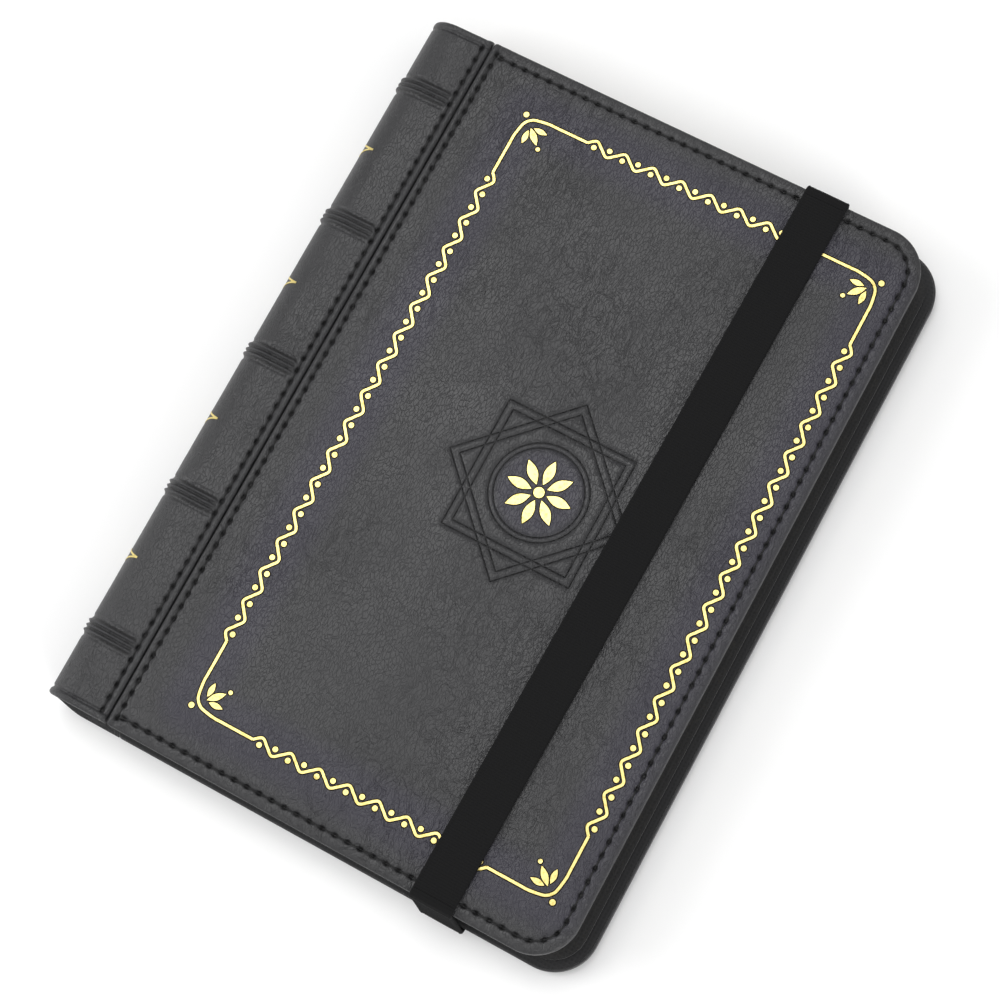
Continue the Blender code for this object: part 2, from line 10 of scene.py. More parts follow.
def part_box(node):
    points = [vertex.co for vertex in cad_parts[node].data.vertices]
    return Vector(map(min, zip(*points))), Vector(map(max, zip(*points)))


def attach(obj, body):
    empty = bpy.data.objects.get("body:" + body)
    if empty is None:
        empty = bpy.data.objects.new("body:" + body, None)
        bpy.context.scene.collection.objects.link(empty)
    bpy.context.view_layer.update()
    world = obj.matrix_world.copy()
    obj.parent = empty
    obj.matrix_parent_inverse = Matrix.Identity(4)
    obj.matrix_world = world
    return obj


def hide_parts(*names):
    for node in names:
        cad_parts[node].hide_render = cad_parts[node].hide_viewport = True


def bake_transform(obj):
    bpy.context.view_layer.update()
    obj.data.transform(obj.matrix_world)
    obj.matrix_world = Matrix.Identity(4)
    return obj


# A pilot's logbook in a stitched, padded leatherette cover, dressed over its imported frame.
# Shapes are worked out in millimetres and made in metres.

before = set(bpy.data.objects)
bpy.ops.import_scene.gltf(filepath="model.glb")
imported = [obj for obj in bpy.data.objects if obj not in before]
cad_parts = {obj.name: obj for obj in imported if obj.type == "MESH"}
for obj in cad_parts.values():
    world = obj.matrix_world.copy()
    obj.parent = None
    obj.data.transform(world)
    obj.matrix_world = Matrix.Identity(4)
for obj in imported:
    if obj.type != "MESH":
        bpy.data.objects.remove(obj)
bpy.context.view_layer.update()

bl_info = {
    "name": "Pilot logbook dressing",
    "version": (1, 0, 0),
    "blender": (4, 5, 0),
    "location": "3D View > Sidebar > Logbook",
    "description": "Leatherette, stitching, foil, strap and leaves over the logbook's frame",
    "category": "Object",
}

MM = 0.001
SEED = 7


def linear(hex_colour):
    """Turn an sRGB hex colour into the linear colour that shaders take."""
    channels = [int(hex_colour[place : place + 2], 16) / 255 for place in (1, 3, 5)]
    curve = [c / 12.92 if c <= 0.04045 else ((c + 0.055) / 1.055) ** 2.4 for c in channels]
    return (*curve, 1.0)


def box_mm(node):
    """The lowest and highest corners of a frame node, in millimetres."""
    low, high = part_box(node)
    return low / MM, high / MM


FRONT_LOW, FRONT_HIGH = box_mm("front_cover_leather")
BACK_LOW, BACK_HIGH = box_mm("back_cover_leather")
SPINE_LOW, SPINE_HIGH = box_mm("spine_leather")
RUN_LOW, RUN_HIGH = box_mm("strap_run")
BORDER_LOW, BORDER_HIGH = box_mm("foil_border")
ROSETTE_LOW, ROSETTE_HIGH = box_mm("foil_rosette")

# Facts of the frame that its boxes don't give
FORE_CORNER = 12.5
SEAM_CORNER = 1.5
SPINE_FLAT_DROP = 0.5  # spine leather below the covers' faces
BEND_RADIUS = 8.5
SPINE_LEATHER = 1.0
BAND_PROUD = 0.5
BAND_COUNT = 5
BAND_END_MARGIN = 20.9
STRAP_THICKNESS = 0.9
STRAP_WIDTH = 12.5
MIDDLE_Z = FRONT_HIGH.z / 2


# ------------------------------------------------------------------ sizes and colours


def length(name, description, default, low=0.0, high=0.5):
    """A length property in metres."""
    return bpy.props.FloatProperty(
        name=name, description=description, default=default, min=low, max=high, unit="LENGTH", precision=5
    )


def colour(name, description, hex_colour):
    """A colour property, given in sRGB hex."""
    return bpy.props.FloatVectorProperty(
        name=name, description=description, default=linear(hex_colour), size=4, min=0, max=1, subtype="COLOR"
    )


class LogbookCover(bpy.types.PropertyGroup):
    """Sizes of the padded covers and the spine."""

    puff: length("Padding rise", "How far the padded field stands over the cover's face", 0.00036)
    roll: length("Edge rounding", "Radius of the leather where it turns over the board's edge", 0.0008)
    hinge_roll: length("Hinge rounding", "Radius of the leather where it turns in at the hinge seam", 0.00045)
    channel: length("Channel depth", "Depth that a row of stitches pulls the leather down", 0.00022)
    hole: length("Needle hole depth", "Depth of the hole that the thread goes through", 0.00075)
    hole_width: length("Needle hole width", "Width of the puckered hole round the thread", 0.0019)
    edge_inset: length("Edge row inset", "Stitched row to the cover's edge", 0.0035)
    seam_inset: length("Seam row inset", "Stitched row to the hinge seam, on a cover", 0.0021)
    spine_inset: length("Spine row inset", "Stitched row to the hinge seam, on the spine", 0.00245)
    groove_depth: length("Groove depth", "Depth of the blind-pressed lines", 0.00034)
    groove_width: length("Groove width", "Width of the blind-pressed lines", 0.0005)
    mesh_step: length("Field step", "Distance between points of the padded field", 0.0013)
    edge_step: length("Edge step", "Distance between points along the sewn edges", 0.0005)


class LogbookStitching(bpy.types.PropertyGroup):
    """Sizes of the sewn rows."""

    edge_pitch: length("Edge pitch", "One stitch to the next round the covers", 0.0038)
    seam_pitch: length("Seam pitch", "One stitch to the next beside the hinge", 0.0037)
    thread_width: length("Thread width", "Width of the waxed thread", 0.00042)
    thread_height: length("Thread height", "Height of the waxed thread", 0.00036)
    drawn: bpy.props.FloatProperty(
        name="Shown share",
        description="Share of the pitch that the thread shows",
        default=0.84,
        min=0.1,
        max=1,
    )


class LogbookFoil(bpy.types.PropertyGroup):
    """Sizes of the stamped gold."""

    lift: length("Foil lift", "Top of the foil over the leather", 0.00006)
    # The rim is a lowered strip round the foil, coloured dark in the gold finish as painted shadow at the foil's
    # edge
    rim: length("Burnished rim", "Width of the dark edge that the die leaves round the foil", 0.0003)
    end_motifs: bpy.props.IntProperty(
        name="End motifs", description="Stretches of wave at the head and tail", default=2
    )
    side_motifs: bpy.props.IntProperty(
        name="Side motifs", description="Stretches of wave along a side", default=4
    )


class LogbookStrap(bpy.types.PropertyGroup):
    """Sizes of the elastic strap."""

    rib_pitch: length("Rib pitch", "One woven rib to the next", 0.00078)
    rib_height: length("Rib height", "How far a rib stands over the weave", 0.00016)
    selvedge: length("Selvedge", "Width of the thicker woven edge", 0.0009)


class LogbookColours(bpy.types.PropertyGroup):
    """Base colours of the finishes."""

    leather: colour("Leatherette", "Black leatherette on the covers and spine", "#1f1f21")
    leather_worn: colour("Leatherette, lighter", "Lighter clouding in the leatherette", "#2b2b2d")
    pressed: colour("Leatherette by the foil", "Tint that the hot stamp leaves round the gold", "#272434")
    gold: colour("Gold foil", "Pale gold stamping foil", "#e6d48a")
    elastic: colour("Elastic", "Black woven elastic", "#101011")
    thread: colour("Thread", "Black waxed sewing thread", "#0c0c0d")
    lining: colour("Lining", "Woven lining of the covers", "#1d1d1f")
    paper: colour("Paper", "Ledger paper", "#f3eedd")
    ruling: colour("Ruling", "Printed rules on the leaves", "#8fa3b0")
    card: colour("Card", "Pressed card of the logbook's own covers", "#26324a")
    greyboard: colour("Greyboard", "Recycled board in the covers", "#8a8780")
    foam: colour("Foam", "Padding foam", "#3b3b3d")
    cloth: colour("Spine cloth", "Open cotton cloth on the folds", "#d9d2bf")
    linen: colour("Linen thread", "Thread that sews the sections", "#e4dcc6")
    stiffener: colour("Stiffener", "Plastic strip inside the spine", "#2c2d30")


# ------------------------------------------------------------------ nodes and finishes


def add(tree, kind, settings=(), inputs=()):
    """Add one node to a tree with its settings, and set or link its inputs by name or number."""
    made = tree.nodes.new(kind)
    for name, value in dict(settings).items():
        setattr(made, name, value)
    for key, value in dict(inputs).items():
        if isinstance(value, bpy.types.NodeSocket):
            tree.links.new(value, made.inputs[key])
        else:
            made.inputs[key].default_value = value
    return made


def new_finish(name):
    """An empty node material, its surface shader and its object coordinates."""
    finish = bpy.data.materials.new(name)
    finish.use_nodes = True
    tree = finish.node_tree
    tree.nodes.clear()
    shader = add(tree, "ShaderNodeBsdfPrincipled")
    add(tree, "ShaderNodeOutputMaterial", inputs={"Surface": shader.outputs["BSDF"]})
    place = add(tree, "ShaderNodeTexCoord").outputs["Object"]
    return finish, tree, shader, place


def per_mm(size):
    """The texture scale of a pattern whose repeat is this many millimetres."""
    return 1 / (size * MM)


def leatherette_finish():
    """Polyurethane leatherette, embossed and glazed: a soft broad sheen over fine crackle and long creases."""
    colours = bpy.context.scene.logbook_colours
    finish, tree, shader, place = new_finish("polyurethane_leatherette")
    sway = add(tree, "ShaderNodeTexNoise", inputs={"Vector": place, "Scale": per_mm(7), "Detail": 2.0})
    swayed = add(
        tree,
        "ShaderNodeVectorMath",
        {"operation": "MULTIPLY_ADD"},
        {0: sway.outputs["Color"], 1: (0.0035, 0.0035, 0.0035), 2: place},
    ).outputs[0]
    # Crackle cells of about 1 mm, a little longer along the skin's pull
    stretched = add(
        tree, "ShaderNodeMapping", inputs={"Vector": swayed, "Rotation": (0, 0, 0.6), "Scale": (1.0, 0.4, 1.0)}
    ).outputs[0]
    cells = add(
        tree,
        "ShaderNodeTexVoronoi",
        {"feature": "DISTANCE_TO_EDGE"},
        {"Vector": stretched, "Scale": per_mm(0.75), "Randomness": 1.0},
    )
    crackle = add(
        tree, "ShaderNodeMapRange", inputs={"Value": cells.outputs["Distance"], "From Max": 0.1}
    ).outputs["Result"]
    # Creases run along the level lines of a broad, bent noise, and fade in and out
    fold = add(
        tree,
        "ShaderNodeTexNoise",
        inputs={"Vector": stretched, "Scale": per_mm(4.5), "Detail": 3.0, "Roughness": 0.6, "Distortion": 1.2},
    )
    off_line = add(
        tree, "ShaderNodeMath", {"operation": "SUBTRACT"}, {0: fold.outputs["Fac"], 1: 0.5}
    ).outputs[0]
    to_line = add(tree, "ShaderNodeMath", {"operation": "ABSOLUTE"}, {0: off_line}).outputs[0]
    crease = add(
        tree, "ShaderNodeMapRange", {"interpolation_type": "SMOOTHSTEP"}, {"Value": to_line, "From Max": 0.03}
    ).outputs["Result"]
    patch = add(tree, "ShaderNodeTexNoise", inputs={"Vector": place, "Scale": per_mm(34), "Detail": 2.0})
    patches = add(
        tree,
        "ShaderNodeMapRange",
        inputs={"Value": patch.outputs["Fac"], "From Min": 0.44, "From Max": 0.66},
    ).outputs["Result"]
    clouds = add(tree, "ShaderNodeTexNoise", inputs={"Vector": place, "Scale": per_mm(22), "Detail": 5.0})
    toned = add(
        tree,
        "ShaderNodeMix",
        {"data_type": "RGBA"},
        {0: clouds.outputs["Fac"], 6: colours.leather[:], 7: colours.leather_worn[:]},
    ).outputs[2]
    halo = add(tree, "ShaderNodeAttribute", {"attribute_name": "foil_halo"}).outputs["Fac"]
    stamped = add(
        tree, "ShaderNodeMix", {"data_type": "RGBA"}, {0: halo, 6: toned, 7: colours.pressed[:]}
    ).outputs[2]
    # Painted shade: the groove attribute darkens the colour toward near black in pressed lines, stitch channels,
    # needle holes and between spine band ridges
    groove = add(tree, "ShaderNodeAttribute", {"attribute_name": "groove"}).outputs["Fac"]
    base = add(
        tree, "ShaderNodeMix", {"data_type": "RGBA"}, {0: groove, 6: stamped, 7: linear("#030304")}
    ).outputs[2]
    fine = add(tree, "ShaderNodeTexNoise", inputs={"Vector": place, "Scale": per_mm(0.35), "Detail": 3.0})
    gloss = add(
        tree,
        "ShaderNodeMapRange",
        inputs={"Value": clouds.outputs["Fac"], "From Min": 0.3, "From Max": 0.7, "To Min": 0.36, "To Max": 0.5},
    ).outputs["Result"]
    pores = add(
        tree, "ShaderNodeBump", inputs={"Height": fine.outputs["Fac"], "Strength": 0.6, "Distance": 0.00012}
    ).outputs[0]
    grained = add(
        tree,
        "ShaderNodeBump",
        inputs={"Height": crackle, "Strength": 0.75, "Distance": 0.00011, "Normal": pores},
    ).outputs[0]
    depth = add(tree, "ShaderNodeMix", inputs={0: patches, 2: 1.0, 3: crease}).outputs[0]
    creased = add(
        tree,
        "ShaderNodeBump",
        inputs={"Height": depth, "Strength": 0.8, "Distance": 0.0002, "Normal": grained},
    ).outputs[0]
    tree.links.new(base, shader.inputs["Base Color"])
    tree.links.new(gloss, shader.inputs["Roughness"])
    tree.links.new(creased, shader.inputs["Normal"])
    shader.inputs["IOR"].default_value = 1.5
    shader.inputs["Coat Weight"].default_value = 0.05
    shader.inputs["Coat Roughness"].default_value = 0.3
    return finish


def gold_foil_finish():
    """Hot-stamped metal foil: bright pale gold, slightly broken by the grain beneath."""
    colours = bpy.context.scene.logbook_colours
    finish, tree, shader, place = new_finish("hot_stamped_gold_foil")
    grain = add(tree, "ShaderNodeTexNoise", inputs={"Vector": place, "Scale": per_mm(0.8), "Detail": 4.0})
    worn = add(
        tree,
        "ShaderNodeMapRange",
        inputs={"Value": grain.outputs["Fac"], "From Min": 0.34, "From Max": 0.46},
    ).outputs["Result"]
    base = add(
        tree, "ShaderNodeMix", {"data_type": "RGBA"}, {0: worn, 6: linear("#d9c272"), 7: colours.gold[:]}
    ).outputs[2]
    # Painted shadow: the lowered rim just outside the foil is coloured dark for the shade at the pressed foil's
    # edge
    outside = add(tree, "ShaderNodeAttribute", {"attribute_name": "rim"}).outputs["Fac"]
    painted_rim_shadow = add(
        tree, "ShaderNodeMapRange", inputs={"Value": outside, "From Min": 0.02, "From Max": 0.15}
    ).outputs["Result"]
    base = add(
        tree, "ShaderNodeMix", {"data_type": "RGBA"}, {0: painted_rim_shadow, 6: base, 7: linear("#16120c")}
    ).outputs[2]
    gloss = add(
        tree, "ShaderNodeMapRange", inputs={"Value": grain.outputs["Fac"], "To Min": 0.5, "To Max": 0.28}
    ).outputs["Result"]
    bumped = add(
        tree, "ShaderNodeBump", inputs={"Height": grain.outputs["Fac"], "Strength": 0.3, "Distance": 0.00008}
    ).outputs[0]
    tree.links.new(base, shader.inputs["Base Color"])
    tree.links.new(gloss, shader.inputs["Roughness"])
    tree.links.new(bumped, shader.inputs["Normal"])
    shader.inputs["Metallic"].default_value = 1.0
    return finish


def thread_finish(name, tone, twist):
    """Twisted, waxed sewing thread: dull lustre with slanting plies."""
    finish, tree, shader, place = new_finish(name)
    # The plies are drawn at their real lay of about half a millimetre
    plies = add(
        tree,
        "ShaderNodeTexWave",
        {"wave_type": "BANDS", "bands_direction": "DIAGONAL"},
        {"Vector": place, "Scale": per_mm(twist * 6.3), "Distortion": 0.6, "Detail": 1.0},
    ).outputs["Fac"]
    # Painted shade: darker colour in the hollows between the plies
    deep = tuple(channel * 0.55 for channel in tone[:3]) + (1.0,)
    base = add(tree, "ShaderNodeMix", {"data_type": "RGBA"}, {0: plies, 6: deep, 7: tone[:]}).outputs[2]
    bumped = add(
        tree, "ShaderNodeBump", inputs={"Height": plies, "Strength": 0.5, "Distance": 0.0001}
    ).outputs[0]
    tree.links.new(base, shader.inputs["Base Color"])
    tree.links.new(bumped, shader.inputs["Normal"])
    shader.inputs["Roughness"].default_value = 0.7
    return finish


def woven_finish(name, tone, pitch, roughness, strength):
    """Plain-woven cloth: warp and weft threads that pass over and under each other."""
    finish, tree, shader, place = new_finish(name)
    across = add(
        tree,
        "ShaderNodeTexWave",
        {"wave_type": "BANDS", "bands_direction": "X"},
        {"Vector": place, "Scale": per_mm(pitch * 6.3), "Distortion": 0.3, "Detail": 1.0},
    ).outputs["Fac"]
    along = add(
        tree,
        "ShaderNodeTexWave",
        {"wave_type": "BANDS", "bands_direction": "Y"},
        {"Vector": place, "Scale": per_mm(pitch * 6.3), "Distortion": 0.3, "Detail": 1.0},
    ).outputs["Fac"]
    weave = add(tree, "ShaderNodeMath", {"operation": "MAXIMUM"}, {0: across, 1: along}).outputs[0]
    slubs = add(tree, "ShaderNodeTexNoise", inputs={"Vector": place, "Scale": per_mm(4), "Detail": 4.0})
    height = add(
        tree,
        "ShaderNodeMath",
        {"operation": "MULTIPLY_ADD"},
        {0: slubs.outputs["Fac"], 1: 0.4, 2: weave},
    ).outputs[0]
    # Painted shade: darker colour in the gaps between the woven threads
    deep = tuple(channel * 0.5 for channel in tone[:3]) + (1.0,)
    base = add(tree, "ShaderNodeMix", {"data_type": "RGBA"}, {0: weave, 6: deep, 7: tone[:]}).outputs[2]
    bumped = add(
        tree, "ShaderNodeBump", inputs={"Height": height, "Strength": strength, "Distance": 0.00012}
    ).outputs[0]
    tree.links.new(base, shader.inputs["Base Color"])
    tree.links.new(bumped, shader.inputs["Normal"])
    shader.inputs["Roughness"].default_value = roughness
    shader.inputs["Sheen Weight"].default_value = 0.2
    return finish


def elastic_finish():
    """Woven elastic webbing: dull black yarn with fine warp lines between the ribs."""
    colours = bpy.context.scene.logbook_colours
    finish, tree, shader, place = new_finish("woven_elastic")
    warp = add(
        tree,
        "ShaderNodeTexWave",
        {"wave_type": "BANDS", "bands_direction": "X"},
        {"Vector": place, "Scale": per_mm(0.6 * 6.3), "Distortion": 0.8, "Detail": 2.0},
    ).outputs["Fac"]
    fuzz = add(tree, "ShaderNodeTexNoise", inputs={"Vector": place, "Scale": per_mm(0.5), "Detail": 4.0})
    deep = tuple(channel * 0.55 for channel in colours.elastic[:3]) + (1.0,)
    base = add(
        tree,
        "ShaderNodeMix",
        {"data_type": "RGBA"},
        {0: fuzz.outputs["Fac"], 6: deep, 7: colours.elastic[:]},
    ).outputs[2]
    lines = add(
        tree, "ShaderNodeBump", inputs={"Height": warp, "Strength": 0.4, "Distance": 0.00008}
    ).outputs[0]
    fuzzy = add(
        tree,
        "ShaderNodeBump",
        inputs={"Height": fuzz.outputs["Fac"], "Strength": 0.5, "Distance": 0.0001, "Normal": lines},
    ).outputs[0]
    tree.links.new(base, shader.inputs["Base Color"])
    tree.links.new(fuzzy, shader.inputs["Normal"])
    shader.inputs["Roughness"].default_value = 0.9
    shader.inputs["Specular IOR Level"].default_value = 0.25
    return finish


def paper_finish():
    """Uncoated ledger paper: off-white, with fine printed rules on its faces and layered cut edges."""
    colours = bpy.context.scene.logbook_colours
    finish, tree, shader, place = new_finish("ledger_paper")
    split = add(tree, "ShaderNodeSeparateXYZ", inputs={"Vector": place})
    normal = add(tree, "ShaderNodeNewGeometry").outputs["Normal"]
    facing = add(tree, "ShaderNodeSeparateXYZ", inputs={"Vector": normal}).outputs["Z"]
    up = add(tree, "ShaderNodeMath", {"operation": "ABSOLUTE"}, {0: facing}).outputs[0]
    on_face = add(tree, "ShaderNodeMath", {"operation": "GREATER_THAN"}, {0: up, 1: 0.7}).outputs[0]

    def rules(axis, spacing, width):
        """Lines of this width, every so many millimetres along an axis."""
        steps = add(
            tree, "ShaderNodeMath", {"operation": "MULTIPLY"}, {0: split.outputs[axis], 1: per_mm(spacing)}
        ).outputs[0]
        share = add(tree, "ShaderNodeMath", {"operation": "FRACT"}, {0: steps}).outputs[0]
        return add(tree, "ShaderNodeMath", {"operation": "LESS_THAN"}, {0: share, 1: width / spacing}).outputs[0]

    rows = rules("Y", 7.0, 0.25)
    columns = rules("X", 18.0, 0.3)
    grid = add(tree, "ShaderNodeMath", {"operation": "MAXIMUM"}, {0: rows, 1: columns}).outputs[0]
    printed = add(tree, "ShaderNodeMath", {"operation": "MULTIPLY"}, {0: grid, 1: on_face}).outputs[0]
    fibres = add(tree, "ShaderNodeTexNoise", inputs={"Vector": place, "Scale": per_mm(0.6), "Detail": 5.0})
    shade = tuple(channel * 0.9 for channel in colours.paper[:3]) + (1.0,)
    sheet = add(
        tree, "ShaderNodeMix", {"data_type": "RGBA"}, {0: fibres.outputs["Fac"], 6: shade, 7: colours.paper[:]}
    ).outputs[2]
    base = add(
        tree, "ShaderNodeMix", {"data_type": "RGBA"}, {0: printed, 6: sheet, 7: colours.ruling[:]}
    ).outputs[2]
    bumped = add(
        tree, "ShaderNodeBump", inputs={"Height": fibres.outputs["Fac"], "Strength": 0.2, "Distance": 0.00005}
    ).outputs[0]
    tree.links.new(base, shader.inputs["Base Color"])
    tree.links.new(bumped, shader.inputs["Normal"])
    shader.inputs["Roughness"].default_value = 0.85
    return finish


def speckled_finish(name, tone, dark, grain, roughness, strength):
    """A pressed, moulded or foamed stock: its colour broken by specks of one grain size."""
    finish, tree, shader, place = new_finish(name)
    specks = add(tree, "ShaderNodeTexNoise", inputs={"Vector": place, "Scale": per_mm(grain), "Detail": 4.0})
    clouds = add(
        tree, "ShaderNodeTexNoise", inputs={"Vector": place, "Scale": per_mm(grain * 14), "Detail": 2.0}
    )
    blend = add(
        tree,
        "ShaderNodeMath",
        {"operation": "MULTIPLY"},
        {0: specks.outputs["Fac"], 1: clouds.outputs["Fac"]},
    ).outputs[0]
    spread = add(
        tree, "ShaderNodeMapRange", inputs={"Value": blend, "From Min": 0.12, "From Max": 0.34}
    ).outputs["Result"]
    deep = tuple(channel * dark for channel in tone[:3]) + (1.0,)
    base = add(tree, "ShaderNodeMix", {"data_type": "RGBA"}, {0: spread, 6: deep, 7: tone[:]}).outputs[2]
    bumped = add(
        tree, "ShaderNodeBump", inputs={"Height": specks.outputs["Fac"], "Strength": strength, "Distance": 0.0001}
    ).outputs[0]
    tree.links.new(base, shader.inputs["Base Color"])
    tree.links.new(bumped, shader.inputs["Normal"])
    shader.inputs["Roughness"].default_value = roughness
    return finish


def make_finishes():
    """Make every finish once, named by the slot that it dresses."""
    tones = bpy.context.scene.logbook_colours
    return {
        "leatherette": leatherette_finish(),
        "gold_foil": gold_foil_finish(),
        "elastic": elastic_finish(),
        "paper": paper_finish(),
        "thread": thread_finish("waxed_polyester_thread", tones.thread, 0.5),
        "linen_thread": thread_finish("linen_sewing_thread", tones.linen, 0.45),
        "lining": woven_finish("woven_polyester_lining", tones.lining, 0.55, 0.8, 0.6),
        "spine_cloth": woven_finish("open_cotton_cloth", tones.cloth, 0.8, 0.95, 0.9),
        # Calendered pressboard is smooth and hard, with a faint mottle
        "card": speckled_finish("calendered_pressboard", tones.card, 0.75, 0.5, 0.5, 0.15),
        # Recycled board shows grey fibre clumps
        "greyboard": speckled_finish("recycled_greyboard", tones.greyboard, 0.6, 0.7, 0.95, 0.5),
        # Open-cell foam is matt and pitted
        "foam": speckled_finish("open_cell_foam", tones.foam, 0.45, 0.5, 1.0, 0.9),
        # Extruded plastic strip is smooth with a slight haze
        "stiffener": speckled_finish("extruded_polypropylene", tones.stiffener, 0.85, 0.9, 0.4, 0.05),
    }


FINISHES = {}


def dress(obj, slot):
    """Give an object the finish of a slot."""
    obj.data.materials.clear()
    obj.data.materials.append(FINISHES[slot])
    return obj


# ------------------------------------------------------------------ shapes


def ease(value, start, end):
    """0 before start, 1 after end and smooth between."""
    share = min(max((value - start) / (end - start), 0.0), 1.0)
    return share * share * (3 - 2 * share)


def bump(offset, half_width):
    """A round bump of height 1 that fades out at half_width."""
    share = abs(offset) / half_width
    return (1 - share * share) ** 2 if share < 1 else 0.0


def mesh_object(name, points, faces, smooth=True, attributes=()):
    """An object from points in millimetres, its faces, and values that belong to its points."""
    mesh = bpy.data.meshes.new(name)
    mesh.from_pydata([Vector(point) * MM for point in points], [], faces)
    mesh.validate()
    for key, values in dict(attributes).items():
        layer = mesh.attributes.new(key, "FLOAT", "POINT")
        layer.data.foreach_set("value", values)
    mesh.polygons.foreach_set("use_smooth", [smooth] * len(mesh.polygons))
    obj = bpy.data.objects.new(name, mesh)
    bpy.context.scene.collection.objects.link(obj)
    return obj


def face_outwards(obj):
    """Turn the faces of a closed mesh outwards."""
    form = bmesh.new()
    form.from_mesh(obj.data)
    bmesh.ops.recalc_face_normals(form, faces=form.faces)
    form.to_mesh(obj.data)
    form.free()
    return obj


def spline(points, step=0.35, closed=False):
    """A smooth line through points, with a point every step."""
    count = len(points)
    if closed:
        line = [points[(i - 1) % count] for i in range(count + 3)]
    else:
        line = [points[0], *points, points[-1]]
    places = []
    for before, start, end, after in zip(line, line[1:], line[2:], line[3:]):
        span = math.dist(start, end)
        pieces = max(1, round(span / step))
        for piece in range(pieces):
            t = piece / pieces
            places.append(
                tuple(
                    0.5
                    * (
                        2 * b
                        + (c - a) * t
                        + (2 * a - 5 * b + 4 * c - d) * t * t
                        + (3 * b - a - 3 * c + d) * t * t * t
                    )
                    for a, b, c, d in zip(before, start, end, after)
                )
            )
    if not closed:
        places.append(tuple(points[-1]))
    return places


def sideways(line, offset):
    """The line moved to its left by offset, which may be one number or one for each point."""
    moved = []
    last = len(line) - 1
    for index, (x, y) in enumerate(line):
        x0, y0 = line[max(index - 1, 0)]
        x1, y1 = line[min(index + 1, last)]
        size = math.hypot(x1 - x0, y1 - y0) or 1.0
        shift = offset[index] if isinstance(offset, list) else offset
        moved.append((x - (y1 - y0) / size * shift, y + (x1 - x0) / size * shift))
    return moved


def stroke(points, widths, step=0.3):
    """Quads along a smooth line, as wide as the widths given evenly along it."""
    line = spline(points, step)
    last = len(line) - 1
    halves = []
    for index in range(last + 1):
        place = index / last * (len(widths) - 1)
        low = min(int(place), len(widths) - 2)
        halves.append((widths[low] + (widths[low + 1] - widths[low]) * (place - low)) / 2)
    left = sideways(line, halves)
    right = sideways(line, [-half for half in halves])
    return [[right[i], right[i + 1], left[i + 1], left[i]] for i in range(last)]


def disc(x, y, radius, sides=12):
    """A round polygon."""
    turns = [2 * math.pi * side / sides for side in range(sides)]
    return [(x + radius * math.cos(turn), y + radius * math.sin(turn)) for turn in turns]


def petal(base, tip, width):
    """A plain pointed petal from its base to its tip."""
    base, tip = Vector(base), Vector(tip)
    across = Vector((base.y - tip.y, tip.x - base.x)).normalized() * width / 2
    shares = [step / 8 for step in range(1, 8)]
    right = [base.lerp(tip, share) - across * math.sin(math.pi * share) for share in shares]
    left = [base.lerp(tip, share) + across * math.sin(math.pi * share) for share in reversed(shares)]
    return [tuple(place) for place in (base, *right, tip, *left)]


def mirrored(shapes):
    """The shapes and their mirror images, the other way up."""
    return shapes + [[(x, -y) for x, y in reversed(shape)] for shape in shapes]


def flat_union(shapes):
    """Points and triangles of flat shapes joined into one."""
    places, outlines = [], []
    for shape in shapes:
        outlines.append(list(range(len(places), len(places) + len(shape))))
        places.extend(Vector(place) for place in shape)
    points, _, faces, _, _, sources = delaunay_2d_cdt(places, [], outlines, 0, 1e-5)
    kept = [face for face, made in zip(faces, sources) if made]
    used = sorted({index for face in kept for index in face})
    number = {index: place for place, index in enumerate(used)}
    return [tuple(points[index]) for index in used], [[number[index] for index in face] for face in kept]


def open_edges(faces):
    """The edges that only one face has, each in its face's direction."""
    edges = {}
    for face in faces:
        for start, end in zip(face, face[1:] + face[:1]):
            if (end, start) in edges:
                del edges[(end, start)]
            else:
                edges[(start, end)] = True
    return list(edges)


def with_rim(flat, faces, width):
    """The flat faces with a narrow rim round their outline, and 1 for each point of the rim."""
    outward = {}
    edges = open_edges(faces)
    for start, end in edges:
        (x0, y0), (x1, y1) = flat[start], flat[end]
        size = math.hypot(x1 - x0, y1 - y0) or 1.0
        for index in (start, end):
            x, y = outward.get(index, (0.0, 0.0))
            outward[index] = (x + (y1 - y0) / size, y - (x1 - x0) / size)
    number = {index: len(flat) + place for place, index in enumerate(outward)}
    rim = []
    for index, (x, y) in outward.items():
        size = max(math.hypot(x, y), 0.5)
        rim.append((flat[index][0] + x / size * width, flat[index][1] + y / size * width))
    quads = [[end, start, number[start], number[end]] for start, end in edges]
    return [*flat, *rim], [*faces, *quads], [0.0] * len(flat) + [1.0] * len(rim)


def sheet_solid(name, flat, faces, top_at, bottom_at, rim_width=0.0):
    """A thin closed solid over flat faces, between two surfaces, with a lower rim if it has a width."""
    rims = [0.0] * len(flat)
    if rim_width:
        flat, faces, rims = with_rim(flat, faces, rim_width)
    count = len(flat)
    tops = [Vector(top_at(x, y)) for x, y in flat]
    bottoms = [Vector(bottom_at(x, y)) for x, y in flat]
    tops = [top.lerp(bottom, 0.5 * rim) for top, bottom, rim in zip(tops, bottoms, rims)]
    solid = [*faces, *[[index + count for index in reversed(face)] for face in faces]]
    solid += [[start, start + count, end + count, end] for start, end in open_edges(faces)]
    return mesh_object(name, tops + bottoms, solid, smooth=False, attributes={"rim": rims + rims})


def flipped(faces):
    """The faces turned over."""
    return [list(reversed(face)) for face in faces]


def band_between(first, second, count, closed=True):
    """Quads that join two rings of points, given by their first numbers."""
    pairs = count if closed else count - 1
    return [
        [first + i, first + (i + 1) % count, second + (i + 1) % count, second + i] for i in range(pairs)
    ]


def corner_arc(cx, cy, radius, start, steps):
    """Points of a quarter turn."""
    turns = [start + math.pi / 2 * step / steps for step in range(steps + 1)]
    return [(cx + radius * math.cos(turn), cy + radius * math.sin(turn)) for turn in turns]


def even(start, end, step_count):
    """Points between start and end, without either."""
    shares = [index / step_count for index in range(1, step_count)]
    return [(start[0] + (end[0] - start[0]) * t, start[1] + (end[1] - start[1]) * t) for t in shares]


